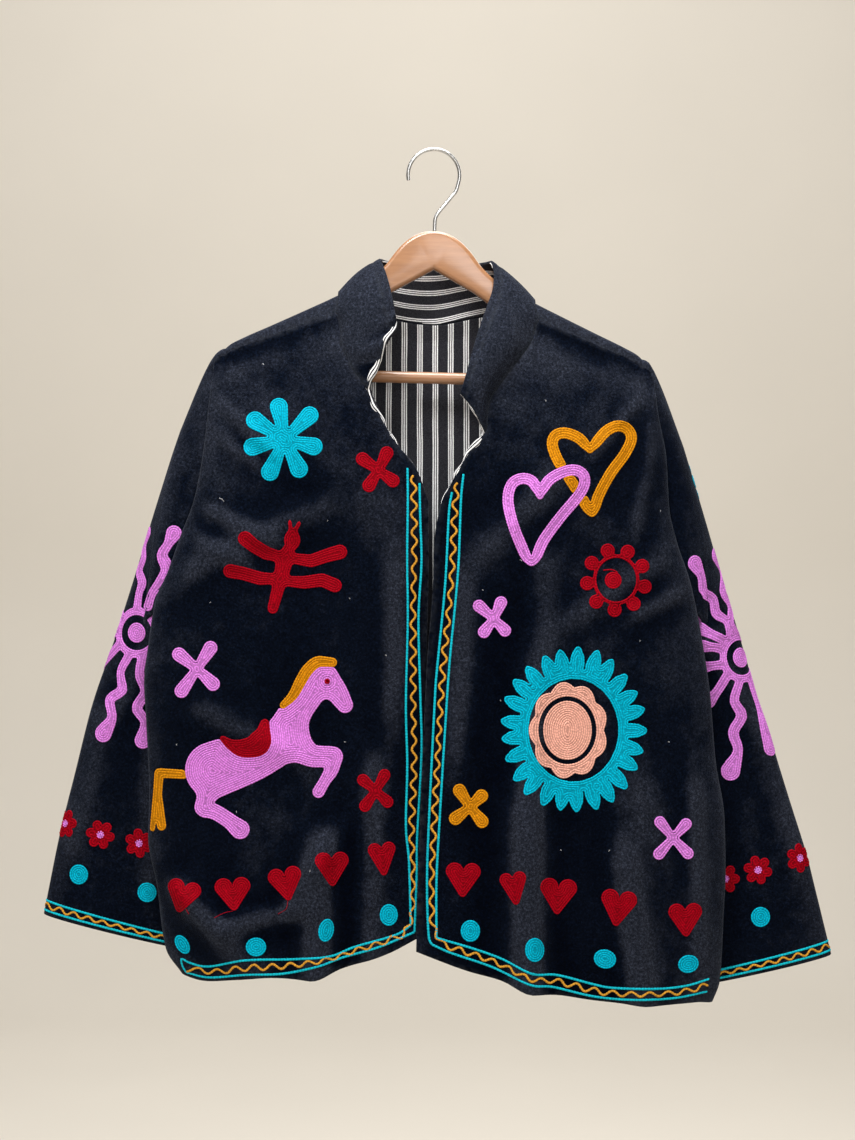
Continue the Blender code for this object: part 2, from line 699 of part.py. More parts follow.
def build_jacket():
    fronts = {side: front_panel(side) for side in ("right", "left")}
    back = back_panel()
    sleeves = {side: sleeve_panel(side, fronts[side], back) for side in ("right", "left")}
    for side in ("right", "left"):
        front = fronts[side]
        sleeve = sleeves[side]
        column = 0 if side == "right" else back.columns - 1
        over = back.rows - front.rows
        rows = range(ARMHOLE_ROWS + 1, front.rows)
        side_front = [(front.columns - 1) * front.rows + j for j in rows]
        side_back = [column * back.rows + j + over for j in rows]
        share_normals([(front, side_front), (back, side_back)])
        seam = back.strips[side][-1]
        order = range(front.columns) if side == "left" else range(front.columns - 1, -1, -1)
        top_front = [c * front.rows for c in order]
        share_normals([(front, top_front[:-1] if side == "left" else top_front[1:]),
                       (back, seam[:-1] if side == "left" else seam[1:])])
        share_normals([(front, sleeve.front_matches[1:-1]), (sleeve, sleeve.front_spots[1:-1])])
        share_normals([(back, sleeve.back_matches), (sleeve, sleeve.back_spots)])
        tip_back = seam[0] if side == "right" else seam[-1]
        tip_front = (front.columns - 1) * front.rows
        share_normals([(front, [tip_front]), (back, [tip_back]),
                       (sleeve, [sleeve.front_spots[0]])])
        under_front = (front.columns - 1) * front.rows + ARMHOLE_ROWS
        under_back = column * back.rows + ARMHOLE_ROWS + over
        share_normals([(front, [under_front]), (back, [under_back])])
        sleeve.normals[sleeve.front_spots[-1]] = front.normals[under_front]
    pairs = []
    step = back.rows
    for j in range(back.rows):
        pairs.append((j, j + step))
        pairs.append(((back.columns - 1) * step + j, (back.columns - 2) * step + j))
    inset_panel(back, pairs)
    for side in ("right", "left"):
        strip = back.strips[side]
        inset_panel(back, [(strip[-1][k], strip[-2][k]) for k in range(len(strip[-1]))])
        for line in strip[1:]:
            ends = ((line[0], line[1]), (line[-1], line[-2]))
            inset_panel(back, [ends[0] if side == "right" else ends[1]])
        front = fronts[side]
        last = (front.columns - 1) * front.rows
        inset_panel(front, [(last + j, last - front.rows + j) for j in range(front.rows)])
        inset_panel(front, [(c * front.rows, c * front.rows + 1) for c in range(front.columns)])
        sleeve = sleeves[side]
        inset_panel(sleeve, [(k, k + sleeve.loop) for k in range(sleeve.loop)], 2 * SEAM_INSET)
    for side in ("right", "left"):
        for name, panel in (("front_" + side, fronts[side]), ("sleeve_" + side, sleeves[side])):
            build_wall(name, "velvet", panel.points, panel.cells, panel.normals, VELVET_WALL)
    build_wall("back", "velvet", back.points, back.cells, back.normals, VELVET_WALL)
    collar = collar_panel(fronts, back)
    build_wall("collar", "velvet", collar.points, collar.cells, collar.normals, VELVET_WALL)
    shift = VELVET_WALL / 2 + LINING_GAP + LINING_WALL / 2
    inner = collar.points - collar.normals * shift
    build_wall("collar_lining", "striped_lining", inner, collar.cells, collar.normals, LINING_WALL)
    first = PANEL_COLUMNS - LINING_PAST_NECK
    last = back.columns - 1 - first
    cells = []
    for i in range(first, last):
        within = PANEL_COLUMNS + 1 < i < back.columns - 3 - PANEL_COLUMNS
        for j in range(0 if within else LINING_TOP_ROW, back.rows - 2):
            a = i * back.rows + j
            cells.append((a, a + 1, a + 1 + back.rows, a + back.rows))
    if normals_of(back.points, cells)[cells[0][0]][1] < 0:
        cells = flipped(cells)
    inner = back.points - back.normals * shift
    build_wall("lining_back", "striped_lining", inner, cells, back.normals, LINING_WALL)


def tilted(x, z):
    """Lowers a point of the hanger's plane by the hanger's tilt."""
    return x, z - x * math.tan(HANGER_TILT)


def build_hanger():
    tip = HANGER_ARM["half"][-1]
    halves = np.concatenate([np.linspace(0, 60, 9), np.linspace(70, tip - 6, 12), [tip]])
    top = [(a, float(smooth(HANGER_ARM["half"], HANGER_ARM["top"], a))) for a in halves]
    heel = [(tip, TIP_LOW), (tip - 5, HEEL_DEEP), (HEEL_HALF + 4, HEEL_DEEP)]
    heel.append((HEEL_HALF, HEEL_DEEP + 4))
    heel.append((HEEL_HALF, -226.0))
    halves = np.concatenate([np.linspace(186, 75, 7), np.linspace(60, 0, 8)])
    under = [
        (a, float(smooth(HANGER_UNDERSIDE["half"], HANGER_UNDERSIDE["under"], a))) for a in halves
    ]
    half = top + heel + under
    outline = half + [(-x, z) for x, z in reversed(half[1:-1])]
    mesh = bmesh.new()
    near = []
    for x, z in outline:
        turned = tilted(x, z)
        near.append(mesh.verts.new((turned[0] * MM, -HANGER_THICK / 2 * MM, turned[1] * MM)))
    face = mesh.faces.new(near)
    made = bmesh.ops.extrude_face_region(mesh, geom=[face])
    far = [item for item in made["geom"] if isinstance(item, bmesh.types.BMVert)]
    bmesh.ops.translate(mesh, verts=far, vec=(0, HANGER_THICK * MM, 0))
    bmesh.ops.recalc_face_normals(mesh, faces=mesh.faces)
    rim = [
        edge for edge in mesh.edges
        if abs(edge.verts[0].co.y - edge.verts[1].co.y) < 1e-6
    ]
    bmesh.ops.bevel(
        mesh, geom=rim, offset=HANGER_EDGE_ROUND * MM, segments=2, profile=0.5, affect="EDGES",
        clamp_overlap=True,
    )
    finish("hanger_body", "hanger_wood", mesh)
    mesh = bmesh.new()
    reach = HEEL_HALF - 0.4
    bmesh.ops.create_cone(
        mesh, cap_ends=True, segments=18, radius1=BAR_DIAMETER / 2 * MM,
        radius2=BAR_DIAMETER / 2 * MM, depth=2 * reach * MM,
    )
    for vert in mesh.verts:
        along = vert.co.z
        side = vert.co.x
        vert.co.x = along
        vert.co.z = BAR_HEIGHT * MM - along * math.tan(HANGER_TILT) - side
    finish("hanger_bar", "hanger_wood", mesh)


def build_hook():
    """Open wire hook: an arc over the peg, a slanting shank and a short upright foot."""
    centre = -(HOOK_RADIUS - HOOK_WIRE / 2)
    path = []
    for degrees in np.linspace(192, -14, 22):
        angle = math.radians(degrees)
        path.append((HOOK_RADIUS * math.cos(angle), centre + HOOK_RADIUS * math.sin(angle)))
    foot = HANGER_ARM["top"][0]
    path += [(22.5, -41), (17.5, -47.5), (10.5, -56), (4.6, -63), (2.0, -67.5), (1.1, -72)]
    path.append((0.8, foot + 0.35))
    curve = bpy.data.curves.new("hanger_hook", "CURVE")
    curve.dimensions = "3D"
    curve.bevel_depth = HOOK_WIRE / 2 * MM
    curve.bevel_resolution = 3
    curve.use_fill_caps = True
    line = curve.splines.new("POLY")
    line.points.add(len(path) - 1)
    for spot, (x, z) in zip(line.points, path):
        spot.co = (x * MM, 0, z * MM, 1)
    line.use_smooth = True
    body = bpy.data.objects.new("hanger_hook", curve)
    bpy.context.scene.collection.objects.link(body)
    curve.materials.append(material_of("hook_chrome"))


for old in list(bpy.data.objects):
    bpy.data.objects.remove(old, do_unlink=True)
build_hanger()
build_hook()
build_jacket()
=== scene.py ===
import math

import bmesh
import bpy
import numpy as np
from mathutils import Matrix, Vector, bvhtree, kdtree


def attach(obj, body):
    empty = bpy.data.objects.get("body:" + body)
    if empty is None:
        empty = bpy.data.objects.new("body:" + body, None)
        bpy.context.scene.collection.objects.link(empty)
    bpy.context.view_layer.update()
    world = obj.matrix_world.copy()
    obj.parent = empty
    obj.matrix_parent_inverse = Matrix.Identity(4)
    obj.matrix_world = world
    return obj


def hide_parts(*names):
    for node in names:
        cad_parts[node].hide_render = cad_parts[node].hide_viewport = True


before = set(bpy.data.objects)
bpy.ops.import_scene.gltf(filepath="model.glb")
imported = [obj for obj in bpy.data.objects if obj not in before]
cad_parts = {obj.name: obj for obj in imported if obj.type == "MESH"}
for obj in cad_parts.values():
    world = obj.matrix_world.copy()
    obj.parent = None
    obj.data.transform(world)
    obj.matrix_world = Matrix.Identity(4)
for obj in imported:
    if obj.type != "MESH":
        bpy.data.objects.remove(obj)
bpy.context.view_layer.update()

rng = np.random.default_rng(11)

MM = 0.001
VELVET_WALL = 2.4
LINING_WALL = 1.0
SEAM_INSET = 0.22
SEAM_PINCH = 0.3
LINING_GAP = 0.35

# How full the flattened body is between its side seams, front and back
FRONT_FULLNESS = 2.6
BACK_FULLNESS = 1.5

# Hanger sizes
HANGER_TILT = math.radians(1.5)
HANGER_THICK = 13.0
HANGER_EDGE_ROUND = 4.5
HANGER_ARM = {
    "half": (0, 15, 28, 38, 48, 65, 82, 104, 126, 165, 195, 207, 212),
    "top": (-82, -83.5, -93, -103, -116.5, -132.5, -145, -157, -167.6, -186, -200, -206.5, -211),
}
HANGER_UNDERSIDE = {
    "half": (0, 15, 28, 38, 48, 65, 82, 104, 126, 165, 188),
    "under": (-123, -126, -134, -142, -150, -161, -171.5, -183, -193, -212, -223),
}
HEEL_HALF = 192.0
HEEL_DEEP = -243.0
TIP_LOW = -236.0
BAR_DIAMETER = 12.0
BAR_HEIGHT = -232.0
HOOK_WIRE = 3.8
HOOK_RADIUS = 26.3
HOOK_NECK = [(22.5, -41), (17.5, -47.5), (10.5, -56), (4.6, -63), (2.0, -67.5), (1.1, -72)]
CLOTH_ON_HANGER = 2.3
FALL_PAST_TIP = 0.06

# Free edge of each front: neckline, then the front edge down to the hem
FRONT_EDGE = {
    "right": {
        "z": (-168, -178, -203, -226, -246, -283, -305, -328, -346, -364, -421, -528, -600,
              -700, -760, -797),
        "x": (-100, -97, -93, -83, -69, -50, -36, -18, -11, -6, -6, -8, -4, -5, -11, -18),
        "y": (-13, -15, -20, -26, -31, -36, -38, -39, -40, -40, -40, -39, -38, -38, -38, -38),
    },
    "left": {
        "z": (-175, -199, -219, -243, -265, -289, -299, -317, -344, -362, -403, -439, -519,
              -603, -738, -808),
        "x": (107, 99, 85, 67, 55, 53, 45, 32, 17, 8, 1, 0, -6, -10, -15, -17),
        "y": (-12, -20, -26, -32, -37, -40, -42, -43, -44, -44, -45, -45, -46, -47, -47, -47),
    },
}
# Outer edge of each front: armhole, then the side seam down to the hem
OUTER_EDGE = {
    "right": {
        "z": (-217, -244, -301, -356, -396, -434, -457, -471, -506, -542, -578, -659, -699,
              -749, -813, -838),
        "x": (-223, -226, -232, -242, -257, -271, -282, -285, -290, -294, -292, -289, -290,
              -281, -272, -256),
        "y": (-9, -13, -14, -14, -13, -11, -9, -7, -8, -8, -8, -8, -8, -7, -5, -2),
    },
    "left": {
        "z": (-226, -236, -271, -315, -367, -401, -441, -471, -499, -552, -623, -681, -733,
              -778, -846, -866),
        "x": (219, 223, 227, 235, 238, 246, 260, 267, 272, 280, 286, 295, 296, 294, 290, 283),
        "y": (-9, -12, -14, -14, -14, -13, -10, -7, -8, -8, -8, -8, -8, -8, -7, -5),
    },
}
UNDERARM_Z = -471.0
# Hem heights across the fronts and the back
FRONT_HEM = {
    "right": {
        "x": (-256, -230, -198, -162, -125, -93, -45, -18),
        "z": (-838, -842, -839, -836, -837, -826, -811, -797),
    },
    "left": {
        "x": (-17, 37, 68, 98, 119, 160, 200, 232, 265, 283),
        "z": (-808, -828, -836, -848, -850, -857, -861, -863, -863, -866),
    },
}
BACK_HEM = {
    "x": (-256, -180, -90, 0, 90, 180, 283),
    "z": (-838, -828, -814, -806, -816, -838, -866),
}
# Back neckline from the right neck point round to the left one
BACK_NECK = {
    "x": (-98, -97, -86, -45, 0, 45, 88, 101, 104),
    "y": (0, 9.5, 16, 25, 28, 26, 16, 9.5, 0),
    "z": (-150.5, -153, -157, -169.5, -175, -168, -161, -160, -157.5),
}
# Depth of the middle of the back and of the back armhole edges, by height
BACK_MIDDLE = {
    "z": (-150, -200, -300, -450, -600, -750, -870),
    "y": (20, 26, 24, 20, 18, 20, 22),
}
BACK_ARMHOLE = {
    "drop": (0.0, 0.12, 0.35, 0.6, 0.85, 1.0),
    "y": (12.5, 13, 14, 12, 3, -7),
}
# Where the cloth runs over the hanger: depth and drop from the ridge, forward and back
SHOULDER_WRAP = {
    "y": (-2.5, -5.0, -7.2, -9.0),
    "drop": (0.2, 0.7, 2.2, 4.4),
}
SHOULDER_BACK = {
    "y": (2.5, 5.0, 7.2, 9.0, 11.2, 12.5),
    "drop": (0.2, 0.7, 2.2, 4.4, 9.5, 15.0),
    "neck_drop": (1.5, 4.0, 7.0, 10.0, 14.5, 18.0),
}
SHOULDER_SEAM_DROP = {"right": (17, 6), "left": (15, 8)}
SHOULDER_SEAM_DEPTH = (-13, -9)

# Sleeves: outer line from the shoulder point to the cuff and the hidden inner line
SLEEVE_OUTER_ALONG = (0.0, 0.035, 0.12, 0.25, 0.4, 0.5, 0.62, 0.72, 0.86, 1.0)
SLEEVE_OUTER_Y = (-1, 1, 5, 11, 17, 21, 24, 26, 27, 27)
SLEEVE_OUTER = {
    "right": {
        "along": SLEEVE_OUTER_ALONG,
        "x": (-226, -238, -256, -281, -311, -331, -352, -370, -387, -403),
        "y": SLEEVE_OUTER_Y,
        "z": (-214, -232, -279, -353, -447, -507, -567, -637, -705, -784),
    },
    "left": {
        "along": SLEEVE_OUTER_ALONG,
        "x": (221, 238, 253, 277, 300, 320, 342, 364, 388, 411),
        "y": SLEEVE_OUTER_Y,
        "z": (-222, -250, -297, -374, -450, -514, -590, -660, -735, -826),
    },
}
SLEEVE_INNER_ALONG = (0.0, 0.1, 0.2, 0.3, 0.42, 0.6, 0.8, 1.0)
SLEEVE_INNER_Y = (-7, 3, 14, 24, 32, 35, 33, 29)
SLEEVE_INNER = {
    "right": {
        "along": SLEEVE_INNER_ALONG,
        "x": (-285, -295, -297, -284, -240, -200, -214, -248),
        "y": SLEEVE_INNER_Y,
        "z": (-471, -482, -498, -522, -564, -634, -738, -822),
    },
    "left": {
        "along": SLEEVE_INNER_ALONG,
        "x": (267, 277, 281, 271, 233, 197, 216, 259),
        "y": SLEEVE_INNER_Y,
        "z": (-471, -483, -500, -526, -573, -650, -762, -860),
    },
}
SLEEVE_HALF_DEPTH = {
    "along": (0.0, 0.1, 0.25, 0.42, 0.6, 0.8, 1.0),
    "half": (12, 14, 19, 21, 20, 18, 15),
}
ARMHOLE_BLEND = 0.13

# Collar: its top edge against the share of the neckline's length
COLLAR_TOP = {
    "along": (0.0, 0.1, 0.16, 0.19, 0.225, 0.27, 0.32, 0.38, 0.447, 0.52, 0.575, 0.63, 0.68,
              0.705, 0.73, 0.78, 0.83, 0.896, 0.948, 1.0),
    "x": (-38, -41, -46, -51, -55, -52, -42, -25, 0, 25, 42, 54, 59, 62, 61, 54, 46, 38, 32, 27),
    "y": (-36, -34, -26, -15, 0, 14, 24, 31, 35, 33, 26, 14, 0, -9, -15, -27, -35, -42, -46,
          -48),
    "z": (-180, -161, -139, -122, -111, -109.5, -110.5, -111, -112, -112, -111.5, -112, -113,
          -127, -140, -163, -187, -214, -236, -252),
}
COLLAR_BULGE = {
    "along": (0.0, 0.12, 0.22, 0.3, 0.447, 0.6, 0.68, 0.78, 0.88, 1.0),
    "out": (3, 5, 3, 4, 3, 4, 3, 8, 10, 6),
}
COLLAR_END_Z = {"right": -246.0, "left": -289.0}
COLLAR_SEAM_RISE = 1.7
COLLAR_OVER_ARM = 3.6
ARM_CROSSING = 12.0
NECK_CENTRE = (0.0, 0.0, -150.0)

# Folds: x and z of a ridge line's two ends, its width, its height and, where that isn't
# FOLD_END, the length of its faded ends; first the largest
FOLD_RISE = 0.35
FOLD_END = 60.0
LARGE_FOLDS = {
    "front_right": (
        (-112, -680, -118, -860, 26, 8),
        (-262, -735, -205, -800, 26, 7), (-190, -250, -60, -360, 30, 3),
    ),
    "front_left": (
        (84, -640, 96, -870, 27, 9),
        (200, -600, 214, -880, 30, 5), (190, -250, 90, -380, 30, 3),
    ),
    "back": (
        (-95, -560, -110, -850, 30, 7),
        (20, -600, 15, -850, 28, 5), (120, -540, 135, -870, 32, 8),
    ),
}

# Smaller folds
FINE_FOLDS = {
    "front_right": (
        (-226, -250, -172, -300, 7, 1.8, 22), (-230, -285, -186, -316, 6, 1.4, 18),
        (-236, -362, -170, -396, 8, 2.4, 25), (-246, -392, -196, -420, 8, 1.8, 22),
        (-94, -358, -238, -424, 17, 3.0, 40), (-39, -398, -41, -560, 12, 2.6, 45),
        (-276, -738, -219, -788, 12, 4.2, 28), (-219, -788, -149, -773, 11, 3.6, 28),
        (-149, -773, -109, -708, 12, 3.2, 30), (-114, -690, -116, -838, 12, 3.6, 30),
        (-58, -600, -64, -790, 14, 2.8, 45), (-250, -560, -150, -610, 16, 2.2, 40),
    ),
    "front_left": (
        (98, -498, 92, -860, 14, 4.4, 40), (256, -398, 150, -470, 14, 1.7, 40),
        (228, -262, 206, -372, 8, 1.8, 30), (212, -250, 170, -300, 7, 1.6, 22),
        (186, -690, 208, -858, 14, 4.4, 35), (268, -440, 210, -470, 9, 2.2, 24),
        (110, -400, 112, -520, 15, 2.0, 40), (34, -420, 24, -600, 12, 2.2, 45),
        (262, -620, 272, -800, 13, 3.0, 40), (128, -330, 60, -400, 16, 2.0, 35),
    ),
    "back": (
        (-226, -262, -150, -330, 10, 2.4, 30), (226, -268, 140, -340, 11, 2.8, 32),
        (-240, -400, -120, -470, 15, 3.2, 40), (246, -410, 120, -500, 16, 3.4, 40),
        (-60, -300, -80, -520, 14, 2.4, 50), (60, -320, 74, -560, 13, 2.6, 50),
        (-190, -600, -200, -850, 14, 3.6, 40), (200, -620, 212, -850, 15, 3.8, 40),
        (60, -640, 56, -850, 12, 3.0, 35), (-30, -700, -36, -850, 12, 3.0, 30),
    ),
}
FOLD_KEYS = ("x0", "z0", "x1", "z1", "width", "height", "end")
FINE_STRENGTH = 1.9
SLEEVE_FOLDS = {
    "right": (
        (-252, -290, -282, -410, 9, 2.6, 30), (-268, -460, -318, -560, 11, 3.0, 30),
        (-330, -560, -366, -700, 13, 3.6, 35), (-288, -600, -290, -740, 12, 3.2, 30),
        (-300, -470, -262, -520, 9, 2.2, 20),
    ),
    "left": (
        (240, -290, 262, -400, 9, 2.6, 30), (262, -470, 320, -570, 11, 3.0, 30),
        (330, -570, 372, -720, 13, 3.6, 35), (282, -600, 290, -780, 12, 3.2, 30),
        (306, -480, 262, -520, 9, 2.2, 20),
    ),
}
SLEEVE_BACK_FOLDS = {
    "right": (
        (-262, -330, -290, -450, 11, 3.0, 30), (-300, -520, -352, -690, 13, 3.6, 35),
        (-262, -560, -276, -720, 12, 3.2, 30),
    ),
    "left": (
        (252, -330, 276, -450, 11, 3.0, 30), (300, -540, 352, -710, 13, 3.6, 35),
        (262, -570, 280, -740, 12, 3.2, 30),
    ),
}
# Grid sizes of the fine surfaces
PANEL_COLUMNS = 60
NECK_COLUMNS = 40
ARMHOLE_ROWS = 54
SIDE_ROWS = 86
SLEEVE_STATIONS = tuple(np.linspace(0, 1, 120) ** 1.08)
COLLAR_ROWS = 14
SIDE_CROWDING = 1.35
LINING_PAST_NECK = 12
LINING_TOP_ROW = 12

def smooth(knots, values, at):
    """Smooth curve through the values at rising knots, with no overshoot between them."""
    knots = np.asarray(knots, float)
    values = np.asarray(values, float)
    if knots[0] > knots[-1]:
        knots = knots[::-1]
        values = values[::-1]
    step = np.diff(knots)
    slope = np.diff(values) / step
    tangent = np.zeros(len(knots))
    tangent[0] = slope[0]
    tangent[-1] = slope[-1]
    for i in range(1, len(knots) - 1):
        if slope[i - 1] * slope[i] > 0:
            near = 2 * step[i] + step[i - 1]
            far = step[i] + 2 * step[i - 1]
            tangent[i] = (near + far) / (near / slope[i - 1] + far / slope[i])
    at = np.clip(np.asarray(at, float), knots[0], knots[-1])
    i = np.clip(np.searchsorted(knots, at) - 1, 0, len(step) - 1)
    t = (at - knots[i]) / step[i]
    return (
        (2 * t**3 - 3 * t**2 + 1) * values[i]
        + (t**3 - 2 * t**2 + t) * step[i] * tangent[i]
        + (3 * t**2 - 2 * t**3) * values[i + 1]
        + (t**3 - t**2) * step[i] * tangent[i + 1]
    )


def lerp(first, last, share):
    return first + (last - first) * share


def ramp(low, high, at):
    t = np.clip((np.asarray(at, float) - low) / (high - low), 0, 1)
    return t * t * (3 - 2 * t)


def summed(step):
    return np.concatenate([[0], np.cumsum(step)])


def path_length(line):
    """Length of a line of points up to each of them."""
    return summed(np.linalg.norm(np.diff(line, axis=0), axis=1))


def points_at(line, length, stops):
    """Points of a line at some lengths along it."""
    return np.stack([np.interp(stops, length, line[:, k]) for k in range(line.shape[1])], -1)


def hanger_top(x):
    """Height of the wooden arm's top edge at x, with the hanger's tilt."""
    arm = smooth(HANGER_ARM["half"], HANGER_ARM["top"], abs(x))
    return arm - x * math.tan(HANGER_TILT)


def ridge(x):
    """Height of the cloth where it lies over the arm, falling away past its tip."""
    past = max(0.0, abs(x) - HANGER_ARM["half"][-1])
    return hanger_top(x) + CLOTH_ON_HANGER - FALL_PAST_TIP * past * past


def folds_of(lines, strength=1.0):
    """Folds from their plain lines, higher or lower by the strength."""
    folds = [dict(zip(FOLD_KEYS, line)) for line in lines]
    for fold in folds:
        fold["height"] *= strength
    return folds


FOLDS = {
    place: folds_of(LARGE_FOLDS[place]) + folds_of(FINE_FOLDS[place], FINE_STRENGTH)
    for place in LARGE_FOLDS
}


def fold_lift(folds, x, z):
    """Sum of the soft ridges at (x, z)."""
    lift = np.zeros(np.broadcast(x, z).shape)
    for fold in folds:
        run = np.array((fold["x1"] - fold["x0"], fold["z1"] - fold["z0"]), float)
        length = np.hypot(*run)
        run = run / length
        along = (x - fold["x0"]) * run[0] + (z - fold["z0"]) * run[1]
        beyond = np.maximum(0, np.maximum(-along, along - length))
        across = (x - fold["x0"]) * run[1] - (z - fold["z0"]) * run[0]
        fade = ramp(0, FOLD_RISE * length, along + 0.1 * length)
        lift = lift + fold["height"] * fade * np.exp(
            -((across / fold["width"]) ** 2) - (beyond / fold.get("end", FOLD_END)) ** 2
        )
    return lift


def seam_point(side, x):
    """Point of the forward shoulder seam at x."""
    neck = FRONT_EDGE[side]["x"][0]
    tip = OUTER_EDGE[side]["x"][0]
    share = (x - neck) / (tip - neck)
    drop = np.interp(share, (0, 1), SHOULDER_SEAM_DROP[side])
    depth = np.interp(share, (0, 1), SHOULDER_SEAM_DEPTH)
    return np.array((x, depth, ridge(x) - drop))


def section(share, power=FRONT_FULLNESS):
    """Roundness of a flattened tube from its side (0) to its middle (1)."""
    return (1 - (1 - np.clip(share, 0, 1)) ** power) ** (1 / power)


def row_heights(side):
    """Shares of the way down at which the rows of a side lie, the same on every panel."""
    table = OUTER_EDGE[side]
    top = table["z"][0]
    hem = table["z"][-1]
    under = (top - UNDERARM_Z) / (top - hem)
    above = under * np.linspace(0, 1, ARMHOLE_ROWS + 1)
    below = under + (1 - under) * np.linspace(0, 1, SIDE_ROWS + 1)[1:]
    return np.concatenate([above, below])


def back_heights(side):
    """The same for the back, whose armhole rows start below the rows over the hanger."""
    table = OUTER_EDGE[side]
    total = table["z"][0] - table["z"][-1]
    shares = row_heights(side)
    under = shares[ARMHOLE_ROWS]
    start = SHOULDER_BACK["drop"][-1] / total
    shares[: ARMHOLE_ROWS + 1] = start + (under - start) * np.linspace(0, 1, ARMHOLE_ROWS + 1)
    return shares


def column_shares():
    """Shares across a front from its free edge to its side, closer near the side."""
    even = np.linspace(0, 1, PANEL_COLUMNS + 1)
    return 1 - (1 - even) ** SIDE_CROWDING


def front_point(side, u, v):
    """Points of a front panel: u from the free edge to the side, v from shoulder to hem."""
    edge = FRONT_EDGE[side]
    outer = OUTER_EDGE[side]
    hem = FRONT_HEM[side]
    edge_z = lerp(edge["z"][0], edge["z"][-1], v)
    outer_z = lerp(outer["z"][0], outer["z"][-1], v)
    edge_x = smooth(edge["z"], edge["x"], edge_z)
    edge_y = smooth(edge["z"], edge["y"], edge_z)
    outer_x = smooth(outer["z"], outer["x"], outer_z)
    outer_y = smooth(outer["z"], outer["y"], outer_z)
    x = lerp(edge_x, outer_x, u)
    top_x = lerp(edge["x"][0], outer["x"][0], u)
    hem_x = lerp(edge["x"][-1], outer["x"][-1], u)
    top = np.array([seam_point(side, a) for a in np.ravel(top_x)]).reshape(np.shape(top_x) + (3,))
    hem_z = smooth(hem["x"], hem["z"], hem_x)
    flat_top = lerp(edge["z"][0], outer["z"][0], u)
    flat_hem = lerp(edge["z"][-1], outer["z"][-1], u)
    z = lerp(edge_z, outer_z, u)
    above = np.clip(1 - v * (outer["z"][0] - outer["z"][-1]) / (outer["z"][0] - UNDERARM_Z), 0, 1)
    z = z + (top[..., 2] - flat_top) * above + (hem_z - flat_hem) * v
    y = lerp(outer_y, edge_y, section(1 - u))
    y = lerp(y, top[..., 1], 1 - ramp(0, 0.05, v))
    inside = ramp(0, 0.12, 1 - u) * ramp(0, 0.08, v)
    y = y - fold_lift(FOLDS["front_" + side], x, z) * inside
    return np.stack([x, y, z], axis=-1)


def back_top(k, of_k):
    """Top of the back at column k: shoulder ridge, neckline, other shoulder ridge."""
    for side, end, from_neck in (("right", 0, PANEL_COLUMNS - k),
                                 ("left", -1, k - of_k + PANEL_COLUMNS)):
        if from_neck >= 0:
            neck = FRONT_EDGE[side]["x"][0]
            x = lerp(neck, OUTER_EDGE[side]["x"][0], column_shares()[from_neck])
            x = x if from_neck else BACK_NECK["x"][end]
            return np.array((x, 0.0, ridge(x)))
    place = (k - PANEL_COLUMNS) / NECK_COLUMNS * (len(BACK_NECK["x"]) - 1)
    order = np.arange(len(BACK_NECK["x"]))
    return np.array([smooth(order, BACK_NECK[axis], place) for axis in "xyz"])


def back_side(side, v):
    """Edge of the back: back armhole above the underarm, side seam below it."""
    outer = OUTER_EDGE[side]
    hem = outer["z"][-1]
    z = lerp(outer["z"][0], hem, v)
    x = smooth(outer["z"], outer["x"], z)
    y = smooth(outer["z"], outer["y"], z)
    drop = (z - outer["z"][0]) / (UNDERARM_Z - outer["z"][0])
    armhole_y = smooth(BACK_ARMHOLE["drop"], BACK_ARMHOLE["y"], drop)
    y = np.where(drop < 1, armhole_y, y)
    top = ridge(outer["x"][0])
    z = z + (top - outer["z"][0]) * np.clip(1 - drop, 0, 1)
    return np.stack([x, y, z], axis=-1)


